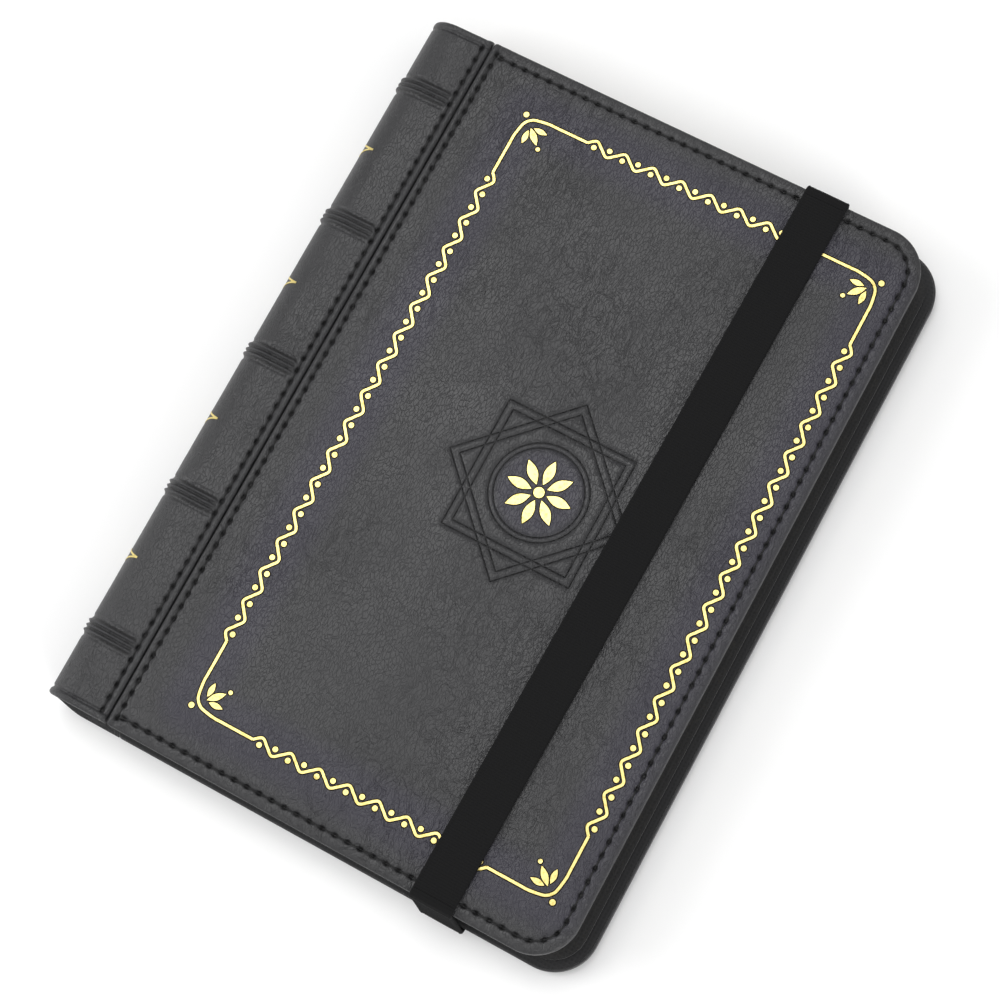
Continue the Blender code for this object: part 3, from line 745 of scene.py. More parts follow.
def rounding(distance, radius):
    """How far leather has dropped where it turns over an edge."""
    share = 1 - min(max(distance, 0.0), radius) / radius
    return radius * 0.92 * (1 - math.sqrt(max(1 - share * share, 0.0)))


def row_depth(offset, along, pitch, hole_half):
    """How much a place lies in the channel of a sewn row and how much in its nearest needle hole."""
    away = (along / pitch - round(along / pitch)) * pitch
    return bump(offset, 0.5), bump(math.hypot(offset, away * 0.75), hole_half)


def row_painted_shade(channel, hole):
    """Painted shade on leather in a sewn row: light along its channel, deep in its needle holes."""
    return max(0.3 * channel, min(1.0, 1.8 * hole))


class CoverFace:
    """The outer face of a padded cover: its outline, its sewn rows and how its leather rises and dips."""

    def __init__(self, low, high, face_z, up, grooves=(), highest=2.0):
        sizes = bpy.context.scene.logbook_cover
        self.highest = highest
        rows = bpy.context.scene.logbook_stitching
        self.low, self.high = low, high
        self.face_z, self.up = face_z, up
        self.half = high.y
        self.puff, self.roll = sizes.puff / MM, sizes.roll / MM
        self.channel, self.hole = sizes.channel / MM, sizes.hole / MM
        self.hole_half, self.hinge_roll = sizes.hole_width / MM / 2, sizes.hinge_roll / MM
        self.edge_step = sizes.edge_step / MM
        self.edge_inset, self.seam_inset = sizes.edge_inset / MM, sizes.seam_inset / MM
        self.groove_depth, self.groove_half = sizes.groove_depth / MM, sizes.groove_width / MM / 2
        self.edge_row = self.edge_path()
        total = self.path_length(self.edge_row)
        self.edge_count = round(total / (rows.edge_pitch / MM))
        self.edge_pitch = total / self.edge_count
        self.seam_end = self.half - 3.0
        self.seam_count = round(2 * self.seam_end / (rows.seam_pitch / MM))
        self.seam_pitch = 2 * self.seam_end / self.seam_count
        self.edge_tree, self.edge_along = self.tree_of(self.edge_row)
        self.grooves = grooves
        self.groove_tree = self.tree_of([place for line in grooves for place in line])[0] if grooves else None

    def outline(self, inset):
        """The outline at an inset, with as many points at any inset."""
        step = self.edge_step
        fore = FORE_CORNER - inset
        seam = max(SEAM_CORNER - inset, 0.02)
        x0, x1, y1 = self.low.x + inset, self.high.x - inset, self.half - inset
        across = round((self.high.x - self.low.x) / step)
        down = round(2 * self.half / step)
        turn = math.pi / 2
        tail_fore = corner_arc(x1 - fore, fore - y1, fore, -turn, 32)
        head_fore = corner_arc(x1 - fore, y1 - fore, fore, 0, 32)
        head_seam = corner_arc(x0 + seam, y1 - seam, seam, turn, 4)
        tail_seam = corner_arc(x0 + seam, seam - y1, seam, 2 * turn, 4)
        corners = [tail_fore, head_fore, head_seam, tail_seam]
        ring = []
        for corner, after, count in zip(corners, corners[1:] + corners[:1], (down, across, down, across)):
            ring += corner + even(corner[-1], after[0], count)
        return ring

    def edge_path(self):
        """The stitched row round three sides, from the seam at the head to the seam at the tail."""
        inset = self.edge_inset
        radius = FORE_CORNER - inset
        x0, x1, y1 = self.low.x + self.seam_inset + 1.6, self.high.x - inset, self.half - inset
        head = [(x0, y1), *reversed(corner_arc(x1 - radius, y1 - radius, radius, 0, 12))]
        path = head + [(x, -y) for x, y in reversed(head)]
        dense = []
        for start, end in zip(path, path[1:]):
            count = max(1, round(math.dist(start, end) / 0.15))
            dense += [start, *even(start, end, count)]
        return [*dense, path[-1]]

    @staticmethod
    def path_length(path):
        """The length of a path."""
        return sum(math.dist(start, end) for start, end in zip(path, path[1:]))

    @staticmethod
    def tree_of(path):
        """A search tree over a path, and how far along it each point is."""
        tree = kdtree.KDTree(len(path))
        along, total = [], 0.0
        for index, (x, y) in enumerate(path):
            if index:
                total += math.dist(path[index - 1], path[index])
            tree.insert((x, y, 0), index)
            along.append(total)
        tree.balance()
        return tree, along

    def edge_distance(self, x, y):
        """Distance inside the three free edges."""
        dx, dy = self.high.x - x, self.half - abs(y)
        if dx < FORE_CORNER and dy < FORE_CORNER:
            return FORE_CORNER - math.hypot(FORE_CORNER - dx, FORE_CORNER - dy)
        return min(dx, dy)

    def sewn(self, x, y):
        """How much a place lies in a sewn row's channel and how much in one of its needle holes."""
        edge, seam, end = self.edge_distance(x, y), x - self.low.x, self.half - abs(y)
        channel, hole = 0.0, 0.0
        if abs(edge - self.edge_inset) < 1.5 and seam > self.seam_inset + 0.7:
            _, index, _ = self.edge_tree.find((x, y, 0))
            channel, hole = row_depth(
                edge - self.edge_inset, self.edge_along[index], self.edge_pitch, self.hole_half
            )
        if abs(seam - self.seam_inset) < 1.5 and end > 2.0:
            beside = row_depth(seam - self.seam_inset, y + self.seam_end, self.seam_pitch, self.hole_half)
            channel, hole = max(channel, beside[0]), max(hole, beside[1])
        return channel, hole

    def groove(self, x, y):
        """Share of a pressed line's depth at a place."""
        if self.groove_tree is None:
            return 0.0
        distance = self.groove_tree.find((x, y, 0))[2]
        return 1 - ease(distance, 0.03, self.groove_half) if distance < self.groove_half else 0.0

    def rise(self, x, y):
        """Height of the leather over the cover's flat face."""
        edge, seam = self.edge_distance(x, y), x - self.low.x
        rise = self.puff * ease(edge, self.edge_inset, 15) * ease(seam, self.seam_inset, 12)
        rise -= rounding(edge, self.roll) + rounding(seam, self.hinge_roll)
        rise += 0.10 * bump(edge - 2.0, 1.5) * ease(seam, 1.0, 4.0) + 0.08 * bump(edge - 5.4, 1.9)
        rise += 0.30 * bump(seam - 0.9, 1.1) + 0.16 * bump(seam - 3.7, 1.8)
        channel, hole = self.sewn(x, y)
        rise -= self.channel * channel + self.hole * hole
        # Each stitch gathers the strip outside it into a pucker
        if edge < self.edge_inset and seam > 3.0:
            _, index, _ = self.edge_tree.find((x, y, 0))
            phase = self.edge_along[index] / self.edge_pitch
            rise -= 0.07 * math.cos(2 * math.pi * phase) * bump(edge - self.edge_inset + 1.0, 1.3)
        # Folded seam allowance makes a lump at each end of the hinge
        end = self.half - abs(y)
        rise += 0.34 * bump(end - 1.9, 2.0) * (bump(seam - 1.2, 1.2) + 0.7 * bump(seam - 4.2, 1.8))
        # Slack in the skin over the padding
        swell = noise.noise(Vector((x / 11, y / 17, self.face_z)))
        fold = noise.noise(Vector((x / 15 + 3, y / 23 + y * x / 900, 5 + self.face_z)))
        slack = 0.05 * swell - 0.08 * max(0.0, 1 - abs(fold) / 0.09) * ease(swell, -0.1, 0.3)
        rise += slack * ease(edge, 6.0, 12.0) * ease(seam, 5.0, 11.0)
        return min(rise, self.highest)

    def painted_shade(self, x, y):
        """Painted shade on the leather at a place, in a groove, a channel or a needle hole."""
        channel, hole = self.sewn(x, y)
        return max(self.groove(x, y), row_painted_shade(channel, hole))

    def surface(self, x, y):
        """Height in the frame of the leather's outer face."""
        return self.face_z + self.up * (self.rise(x, y) - self.groove_depth * self.groove(x, y))


def panel_mesh(name, face, halo_at=None):
    """A closed skin over a cover: its padded top, its rounded edge, its turned-in rim and its underside."""
    step = bpy.context.scene.logbook_cover.mesh_step / MM
    insets = [0.0, 0.04, 0.1, 0.2, 0.32, 0.5, 0.75, 1.05, 1.3, 1.5, 1.7, 1.9, 2.1, 2.3, 2.5, 2.7, 2.9, 3.1, 3.3]
    insets += [3.5, 3.7, 3.9, 4.1, 4.4, 4.8, 5.3, 6.0, 6.8, 7.6]
    inner = face.outline(8.4)
    count = len(inner)
    places = [Vector(place) for place in inner]
    edges = [(i, (i + 1) % count) for i in range(count)]
    for line in face.grooves:
        for offset in (0.0, 0.1, -0.1, face.groove_half, -face.groove_half):
            shifted = sideways(line, offset)
            first = len(places)
            places += [Vector(place) for place in shifted]
            edges += [(first + i, first + i + 1) for i in range(len(shifted) - 1)]
    rows = int((2 * face.half) / (step * 0.866))
    for row in range(rows):
        y = -face.half + row * step * 0.866
        x = face.low.x + (row % 2) * step / 2
        while x < face.high.x:
            clear = face.edge_distance(x, y) > 8.9 and x - face.low.x > 8.9
            if clear and face.groove_tree is not None:
                clear = face.groove_tree.find((x, y, 0))[2] > 0.75
            if clear:
                places.append(Vector((x, y)))
            x += step
    flat, _, faces, sources, _, _ = delaunay_2d_cdt(places, edges, [], 0, 1e-4)
    number = {source: index for index, made in enumerate(sources) for source in made}
    points = [(x, y, face.surface(x, y)) for x, y in flat]
    inner_ring = [number[index] for index in range(count)]
    ring_before = inner_ring
    for inset in reversed(insets):
        first = len(points)
        points += [(x, y, face.surface(x, y)) for x, y in face.outline(inset)]
        ring = list(range(first, first + count))
        faces += [
            [ring[i], ring[(i + 1) % count], ring_before[(i + 1) % count], ring_before[i]] for i in range(count)
        ]
        ring_before = ring
    # The wall, the lip that turns in under the rim, and the inside
    for inset, depth in ((0.0, 3.75), (0.12, 4.02), (0.35, 4.1), (1.0, 4.1), (1.0, 1.24)):
        first = len(points)
        points += [(x, y, face.face_z - face.up * depth) for x, y in face.outline(inset)]
        ring = list(range(first, first + count))
        faces += [
            [ring[i], ring[(i + 1) % count], ring_before[(i + 1) % count], ring_before[i]] for i in range(count)
        ]
        ring_before = ring
    faces.append(list(reversed(ring_before)))
    top = len(points) - 5 * count
    # Painted shade for the padded top: grooves, stitch channels and needle holes; none on the wall, lip and
    # inside
    painted_groove_shade = [face.painted_shade(x, y) for x, y, _ in points[:top]] + [0.0] * (len(points) - top)
    halo = [halo_at(x, y) if halo_at else 0.0 for x, y, _ in points]
    if face.up < 0:
        faces = flipped(faces)
    return mesh_object(name, points, faces, attributes={"groove": painted_groove_shade, "foil_halo": halo})


# ------------------------------------------------------------------ ornament


MEDALLION_CENTRE = ((ROSETTE_LOW.x + ROSETTE_HIGH.x) / 2, (ROSETTE_LOW.y + ROSETTE_HIGH.y) / 2)

BORDER_INSET = 2.25  # middle of the gold line inside the border's outer edge
CORNER_SET = 5.16  # middle of a corner motif inside the two sides
CORNER_POINT = 7.3  # middle of a corner motif to the point where the two sides would meet
CORNER_REACH = 19.2  # length of a side that the corner motif takes
STRETCH_LENGTH = 35.0  # one stretch of the wave before it is fitted to its side
FOIL_LINE = 0.7


def regular_line(corners, reach, turn):
    """A regular outline with straight sides, from one of its corners round to it again."""
    turns = [turn + 2 * math.pi * side / corners for side in range(corners + 1)]
    ends = [Vector((math.cos(angle), math.sin(angle))) * reach for angle in turns]
    line = []
    for start, end in zip(ends, ends[1:]):
        count = max(1, round((end - start).length / 0.35))
        line += [tuple(start.lerp(end, step / count)) for step in range(count)]
    return [*line, tuple(ends[-1])]


def medallion_lines():
    """Centre lines of the blind-pressed medallion: crossed double squares round a double ring."""
    placed = [regular_line(4, reach, turn) for reach in (27.0, 24.0) for turn in (0.0, math.pi / 4)]
    placed += [regular_line(60, reach, 0.0) for reach in (12.2, 13.6)]
    cx, cy = MEDALLION_CENTRE
    return [[(x + cx, y + cy) for x, y in line] for line in placed]


def rosette_shapes():
    """The gold rosette round its own middle: eight plain petals and a bead."""
    petals = []
    for number in range(8):
        way = Vector((math.cos(number * math.pi / 4), math.sin(number * math.pi / 4)))
        petals.append(petal(way * 2.3, way * 9.4, 2.7))
    return [*petals, disc(0, 0, 1.5)]


def wave_shapes():
    """A stretch of the border: four turns of a plain wave, with a bead in each hollow."""
    quarter = STRETCH_LENGTH / 16
    wave = [((step - 8) * quarter, 1.5 * math.sin(step * math.pi / 2)) for step in range(17)]
    beads = [disc(x, -y / 3, 0.75) for x, y in wave[1::2]]
    return stroke(wave, [FOIL_LINE, FOIL_LINE]) + beads


def corner_shapes():
    """A rounded corner of the border with three plain petals in it: d points out to the corner, e across."""
    root = math.sqrt(0.5)
    run = [(CORNER_POINT - step * root, step * root) for step in (CORNER_REACH, 16.0, 12.8, 9.6, 7.2)]
    half = stroke([*run, (4.0, 2.7), (4.8, 1.3), (5.0, 0.0)], [FOIL_LINE, FOIL_LINE])
    half.append(petal((2.4, 0.8), (-0.6, 3.6), 1.5))
    return mirrored(half) + [petal((2.8, 0), (-2.6, 0), 1.8), disc(-3.8, 0, 0.6), disc(7.0, 0, 0.8)]


# ------------------------------------------------------------------ geometry node trees


def stitch_tree():
    """Stitches set evenly along a path, each a short round-ended length of thread."""
    tree = bpy.data.node_groups.new("Sewn row", "GeometryNodeTree")
    for name, kind in (
        ("Path", "Geometry"),
        ("Stitches", "Int"),
        ("Stitch length", "Float"),
        ("Thread width", "Float"),
        ("Thread height", "Float"),
        ("Thread", "Material"),
    ):
        tree.interface.new_socket(name, in_out="INPUT", socket_type="NodeSocket" + kind)
    tree.interface.new_socket("Stitches", in_out="OUTPUT", socket_type="NodeSocketGeometry")
    given = add(tree, "NodeGroupInput").outputs
    path = add(tree, "GeometryNodeMeshToCurve", inputs={"Mesh": given["Path"]}).outputs[0]
    points = add(
        tree, "GeometryNodeCurveToPoints", {"mode": "COUNT"}, {"Curve": path, "Count": given["Stitches"]}
    ).outputs
    ball = add(tree, "GeometryNodeMeshUVSphere", inputs={"Segments": 8, "Rings": 6, "Radius": 0.5}).outputs[0]
    scale = add(
        tree,
        "ShaderNodeCombineXYZ",
        inputs={0: given["Stitch length"], 1: given["Thread width"], 2: given["Thread height"]},
    ).outputs[0]
    one = add(tree, "GeometryNodeTransform", inputs={"Geometry": ball, "Scale": scale}).outputs[0]
    turned = add(
        tree, "FunctionNodeAlignRotationToVector", {"axis": "X"}, {"Vector": points["Tangent"]}
    ).outputs[0]
    rows = add(
        tree,
        "GeometryNodeInstanceOnPoints",
        inputs={"Points": points["Points"], "Instance": one, "Rotation": turned},
    ).outputs[0]
    real = add(tree, "GeometryNodeRealizeInstances", inputs={"Geometry": rows}).outputs[0]
    done = add(
        tree, "GeometryNodeSetMaterial", inputs={"Geometry": real, "Material": given["Thread"]}
    ).outputs[0]
    add(tree, "NodeGroupOutput", inputs={0: done})
    return tree


def border_tree():
    """A motif set evenly along a side of the border, stretched to fill it."""
    tree = bpy.data.node_groups.new("Border side", "GeometryNodeTree")
    for name, kind in (
        ("Path", "Geometry"),
        ("Motif", "Object"),
        ("Motifs", "Int"),
        ("Stretch", "Float"),
        ("Foil", "Material"),
    ):
        tree.interface.new_socket(name, in_out="INPUT", socket_type="NodeSocket" + kind)
    tree.interface.new_socket("Border", in_out="OUTPUT", socket_type="NodeSocketGeometry")
    given = add(tree, "NodeGroupInput").outputs
    path = add(tree, "GeometryNodeMeshToCurve", inputs={"Mesh": given["Path"]}).outputs[0]
    points = add(
        tree, "GeometryNodeCurveToPoints", {"mode": "COUNT"}, {"Curve": path, "Count": given["Motifs"]}
    ).outputs
    motif = add(tree, "GeometryNodeObjectInfo", inputs={"Object": given["Motif"]}).outputs["Geometry"]
    turned = add(
        tree,
        "FunctionNodeAlignRotationToVector",
        {"axis": "X", "pivot_axis": "Z"},
        {"Vector": points["Tangent"]},
    ).outputs[0]
    scale = add(tree, "ShaderNodeCombineXYZ", inputs={0: given["Stretch"], 1: 1.0, 2: 1.0}).outputs[0]
    placed = add(
        tree,
        "GeometryNodeInstanceOnPoints",
        inputs={"Points": points["Points"], "Instance": motif, "Rotation": turned, "Scale": scale},
    ).outputs[0]
    real = add(tree, "GeometryNodeRealizeInstances", inputs={"Geometry": placed}).outputs[0]
    done = add(
        tree, "GeometryNodeSetMaterial", inputs={"Geometry": real, "Material": given["Foil"]}
    ).outputs[0]
    add(tree, "NodeGroupOutput", inputs={0: done})
    return tree


def path_object(name, paths):
    """Open paths in millimetres as an object of edges."""
    points, edges = [], []
    for path in paths:
        first = len(points)
        points += [Vector(place) * MM for place in path]
        edges += [(first + i, first + i + 1) for i in range(len(path) - 1)]
    mesh = bpy.data.meshes.new(name)
    mesh.from_pydata(points, edges, [])
    obj = bpy.data.objects.new(name, mesh)
    bpy.context.scene.collection.objects.link(obj)
    return obj


def grow(obj, tree, values):
    """Run a tree on an object with its inputs set by identifier, and keep the plain mesh."""
    modifier = obj.modifiers.new(tree.name, "NODES")
    modifier.node_group = tree
    for item in tree.interface.items_tree:
        if item.item_type == "SOCKET" and item.in_out == "INPUT" and item.name in values:
            modifier[item.identifier] = values[item.name]
    bpy.context.view_layer.update()
    made = bpy.data.meshes.new_from_object(obj.evaluated_get(bpy.context.evaluated_depsgraph_get()))
    obj.modifiers.clear()
    obj.data = made
    made.polygons.foreach_set("use_smooth", [True] * len(made.polygons))
    return obj


def join(name, objects):
    """Join plain meshes into the first and name it."""
    form = bmesh.new()
    for obj in objects:
        form.from_mesh(obj.data)
    form.to_mesh(objects[0].data)
    form.free()
    for obj in objects[1:]:
        bpy.data.objects.remove(obj)
    objects[0].name = name
    objects[0].data.name = name
    return objects[0]


def sew(name, paths, pitch, tree):
    """Sewn rows along paths, joined into one object."""
    rows = bpy.context.scene.logbook_stitching
    made = []
    for path in paths:
        total = sum(math.dist(start, end) for start, end in zip(path, path[1:]))
        count = max(2, round(total / (pitch / MM)) + 1)
        values = {
            "Stitches": count,
            "Stitch length": pitch * rows.drawn,
            "Thread width": rows.thread_width,
            "Thread height": rows.thread_height,
            "Thread": FINISHES["thread"],
        }
        made.append(grow(path_object(name, [path]), tree, values))
    return dress(join(name, made), "thread")


# ------------------------------------------------------------------ spine


class SpineCurve:
    """The section of the spine leather, measured from the middle of its back towards either cover."""

    def __init__(self):
        self.outer_x = SPINE_LOW.x + BAND_PROUD
        self.seam_x = SPINE_HIGH.x
        self.top = FRONT_HIGH.z - SPINE_FLAT_DROP
        self.wall = self.top - MIDDLE_Z - BEND_RADIUS
        self.bend = BEND_RADIUS * math.pi / 2
        self.centre_x = self.outer_x + BEND_RADIUS
        self.reach = self.wall + self.bend + self.seam_x - self.centre_x
        self.half = SPINE_HIGH.y
        self.bands = [
            -self.half + BAND_END_MARGIN + i * (2 * self.half - 2 * BAND_END_MARGIN) / (BAND_COUNT - 1)
            for i in range(BAND_COUNT)
        ]

    def at(self, along, y, lift, side):
        """The point this far round the section, lifted off it, on the front (+1) or back (-1) half."""
        if along <= self.wall:
            x, z, out_x, out_z = self.outer_x, along, -1.0, 0.0
        elif along <= self.wall + self.bend:
            turn = (along - self.wall) / BEND_RADIUS
            out_x, out_z = -math.cos(turn), math.sin(turn)
            x = self.centre_x + BEND_RADIUS * out_x
            z = self.wall + BEND_RADIUS * out_z
        else:
            x, z = self.centre_x + along - self.wall - self.bend, self.top - MIDDLE_Z
            out_x, out_z = 0.0, 1.0
        return x + out_x * lift, y, MIDDLE_Z + side * (z + out_z * lift)

    def sewn(self, along, y, inset, count, seam_end):
        """How much a place lies in the sewn row's channel and how much in one of its needle holes."""
        if self.half - abs(y) < 2.0:
            return 0.0, 0.0
        hole_half = bpy.context.scene.logbook_cover.hole_width / MM / 2
        return row_depth(self.reach - along - inset, y + seam_end, 2 * seam_end / count, hole_half)

    def band_painted_shade(self, along, y):
        """Painted shade on the leather between the ridges of a band."""
        nearest = min(abs(y - band) for band in self.bands)
        between = 0.5 - 0.5 * math.cos(2 * math.pi * nearest / 1.45)
        return 0.9 * between**2 * (1 - ease(nearest, 2.4, 3.0)) * ease(self.reach - along, 3.2, 4.0)

    def relief(self, along, y, inset, count, seam_end):
        """How far the leather stands off the section: bands, hinge ridge, sewn row and rolled ends."""
        sizes = bpy.context.scene.logbook_cover
        seam = self.reach - along
        nearest = min(abs(y - band) for band in self.bands)
        away = ease(seam, 3.2, 4.2)
        rise = 0.0
        if nearest < 4.2:
            ridge = 0.5 + 0.5 * math.cos(2 * math.pi * nearest / 1.45)
            shaped = (0.02 + 0.6 * ridge) * (1 - ease(nearest, 1.95, 2.4)) - 0.22 * bump(nearest - 2.8, 0.8)
            rise += shaped * away
        rise += 0.55 * bump(seam - 1.0, 1.3) + 0.12 * bump(seam - 4.3, 1.6)
        rise -= 0.25 * (1 - ease(seam, 0.0, 0.3))
        end = self.half - abs(y)
        channel, hole = self.sewn(along, y, inset, count, seam_end)
        rise -= (sizes.channel * channel + sizes.hole * hole) / MM
        rise += 0.2 * bump(end - 1.0, 1.3) - 0.34 * bump(end - 2.3, 0.7)
        rise += 0.3 * bump(end - 1.4, 1.6) * bump(seam - 1.6, 1.6)
        rise -= 0.7 * (1 - math.sqrt(max(0.0, 1 - (1 - min(end, 0.8) / 0.8) ** 2)))
        slack = 0.05 * noise.noise(Vector((along / 8, y / 13, 2))) * ease(seam, 4.0, 7.0) * ease(end, 3.0, 6.0)
        return rise + slack


def spine_stations(curve):
    """Places along the spine, closest together at the bands, the ends and where the stitches dimple it."""
    places = {-curve.half, curve.half}
    for band in curve.bands:
        places |= {round(band + step * 0.22, 3) for step in range(-18, 19)}
    for end in (-1, 1):
        places |= {round(end * (curve.half - step * 0.2), 3) for step in range(1, 17)}
    gaps = [0.5 * step - curve.half for step in range(1, int(2 * curve.half / 0.5))]
    for place in gaps:
        if min(abs(place - taken) for taken in places) > 0.24:
            places.add(round(place, 3))
    return sorted(places)


def spine_half(name, curve, side):
    """One half of the spine leather, from its back's middle to a hinge seam, closed all round."""
    sizes = bpy.context.scene.logbook_cover
    rows = bpy.context.scene.logbook_stitching
    seam_end = curve.half - 3.0
    count = round(2 * seam_end / (rows.seam_pitch / MM))
    inset = sizes.spine_inset / MM
    stations = spine_stations(curve)
    seam_steps = [0.0, 0.08, 0.18, 0.3, 0.5, 0.75, 1.0, 1.3, 1.55, 1.75, 1.95, 2.15, 2.3, 2.45, 2.6, 2.75, 2.95]
    seam_steps += [3.15, 3.4, 3.8, 4.4, 5.2, 6.1, 7.0, 8.2, 9.4, 10.6, 11.8]
    rest = curve.reach - 11.8
    seam_steps += [11.8 + rest * step / 16 for step in range(1, 17)]
    alongs = [curve.reach - step for step in seam_steps]
    wide = len(stations)
    points = []
    # The back cover is longer, so the leather's back half widens towards it
    spread = [1 + 0.014 * ease(along, 2.0, 14.0) * (side < 0) for along in alongs]
    # Painted shade on the outer face: the sewn row's channel and needle holes, and the valleys between band
    # ridges
    dark = []
    for along, wider in zip(alongs, spread):
        highest = SPINE_FLAT_DROP if side < 0 and along > curve.wall else 2.0
        lifts = [min(curve.relief(along, y, inset, count, seam_end), highest) for y in stations]
        points += [curve.at(max(along, 0.0), y * wider, lift, side) for y, lift in zip(stations, lifts)]
        sewn = [curve.sewn(along, y, inset, count, seam_end) for y in stations]
        dark += [max(row_painted_shade(*pair), curve.band_painted_shade(along, y)) for pair, y in zip(sewn, stations)]
    faces = []
    for row in range(len(alongs) - 1):
        faces += band_between(row * wide, (row + 1) * wide, wide, closed=False)
    inner_first = len(points)
    for along, wider in zip(alongs, spread):
        points += [curve.at(max(along, 0.0), y * wider, -SPINE_LEATHER, side) for y in stations]
    for row in range(len(alongs) - 1):
        first = inner_first + row * wide
        faces += flipped(band_between(first, first + wide, wide, closed=False))
    last = (len(alongs) - 1) * wide
    faces += flipped(band_between(0, inner_first, wide, closed=False))
    faces += band_between(last, inner_first + last, wide, closed=False)
    for edge in (0, wide - 1):
        for row in range(len(alongs) - 1):
            a, b = row * wide + edge, (row + 1) * wide + edge
            faces.append([a, b, b + inner_first, a + inner_first])
    dark += [0.0] * len(dark)
    shade = {"groove": dark, "foil_halo": [0.0] * len(dark)}
    return face_outwards(mesh_object(name, points, faces, attributes=shade))


def round_sheet(name, curve, side, depth, thickness, reach, half_length):
    """A thin sheet inside one half of the spine."""
    stations = [-half_length + 2 * half_length * step / 40 for step in range(41)]
    alongs = [reach * step / 20 for step in range(21)]
    wide = len(stations)
    points, faces = [], []
    for lift in (-depth, -depth - thickness):
        for along in alongs:
            points += [curve.at(along, y, lift, side) for y in stations]
    sheet = wide * len(alongs)
    for row in range(len(alongs) - 1):
        faces += band_between(row * wide, (row + 1) * wide, wide, closed=False)
        faces += flipped(band_between(sheet + row * wide, sheet + (row + 1) * wide, wide, closed=False))
    last = (len(alongs) - 1) * wide
    faces += flipped(band_between(0, sheet, wide, closed=False))
    faces += band_between(last, sheet + last, wide, closed=False)
    for edge in (0, wide - 1):
        for row in range(len(alongs) - 1):
            a, b = row * wide + edge, (row + 1) * wide + edge
            faces.append([a, b, b + sheet, a + sheet])
    return face_outwards(mesh_object(name, points, faces))


def bend_spine(obj):
    """Bake a spine piece's placement into its mesh."""
    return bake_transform(obj)


# ------------------------------------------------------------------ strap and leaves


def strap_section(ribbed):
    """Across the strap: (across, up) for its top from one edge to the other, then its underside back."""
    strap = bpy.context.scene.logbook_strap
    half, thick = STRAP_WIDTH / 2, STRAP_THICKNESS / 2
    edge = strap.selvedge / MM
    tops = [(-half, 0.1), (-half + 0.12, 0.85), (-half + edge / 2, 1.12), (-half + edge, 0.8)]
    tops += [(-half + edge + 0.5, 0.86), (-2.6, 0.9), (0.0, 0.92)]
    tops += [(-x, share) for x, share in reversed(tops[:-1])]
    top = [(x, share * thick) for x, share in tops]
    lift = strap.rib_height / MM * ribbed
    raised = [(x, z + lift * ease(half - abs(x), 0.0, 0.5)) for x, z in top]
    return raised + [(x, -z) for x, z in reversed(raised)]


def strap_mesh(name, path):
    """A ribbed strap along points (x, y, z), its width kept along X."""
    strap = bpy.context.scene.logbook_strap
    pitch = strap.rib_pitch / MM
    distance = [0.0]
    for start, end in zip(path, path[1:]):
        distance.append(distance[-1] + math.dist(start, end))
    total = distance[-1]
    ribs = max(2, round(total / pitch))
    shape = (0.0, 0.75, 1.0, 0.75)
    points, faces, rings = [], [], []
    leg = 0
    for step in range(ribs * 4 + 1):
        place = total * step / (ribs * 4)
        while leg < len(path) - 2 and place > distance[leg + 1]:
            leg += 1
        share = (place - distance[leg]) / (distance[leg + 1] - distance[leg])
        start, end = Vector(path[leg]), Vector(path[leg + 1])
        middle = start.lerp(end, share)
        ahead = Vector((0, end.y - start.y, end.z - start.z)).normalized()
        if 0 < share < 1 and leg + 2 < len(path):
            after = Vector((0, path[leg + 2][1] - end.y, path[leg + 2][2] - end.z)).normalized()
            ahead = ahead.lerp(after, share * 0.5).normalized()
        up = Vector((0, -ahead.z, ahead.y))
        section = strap_section(shape[step % 4])
        rings.append(len(points))
        points += [middle + Vector((x, 0, 0)) + up * z for x, z in section]
    count = len(strap_section(0))
    for first, second in zip(rings, rings[1:]):
        faces += band_between(first, second, count)
    faces.append(list(range(count)))
    faces.append([rings[-1] + i for i in reversed(range(count))])
    return face_outwards(mesh_object(name, points, faces))


def arm_path(sign, x):
    """An arm of the strap: from its sewn tab, out of the back cover's rim, up and over the front cover."""
    low, high = box_mm("strap_arm_head" if sign > 0 else "strap_arm_tail")
    inner = min(abs(low.y), abs(high.y))
    top = high.z - STRAP_THICKNESS / 2
    bottom = low.z + STRAP_THICKNESS / 2
    reach = FRONT_HIGH.y + 0.05 + STRAP_THICKNESS / 2
    leg = reach_of_leg()
    bend = 1.3
    turns = [math.pi / 2 * step / 6 for step in range(1, 7)]
    path = [(inner, bottom), (leg - bend, bottom)]
    path += [(leg - bend + bend * math.sin(t), bottom + bend - bend * math.cos(t)) for t in turns]
    path += [(leg, bottom + 2.6), (reach + (leg - reach) * 0.4, MIDDLE_Z + 3), (reach, top - 2.6)]
    path += [(reach - bend + bend * math.cos(t), top - bend + bend * math.sin(t)) for t in [0.0, *turns]]
    path.append((RUN_HIGH.y, top))
    # The leg stands where the strap is sewn, and the run has been pulled aside at the tail
    sewn_x = RUN_HIGH.x - STRAP_WIDTH / 2 - 1.0
    return [(sewn_x + (x - sewn_x) * ease(z, bottom, top), sign * y, z) for y, z in path]


def reach_of_leg():
    """Middle of the strap's upright part to the middle of the book, low down beside the back cover."""
    return BACK_HIGH.y + 0.6 + STRAP_THICKNESS / 2


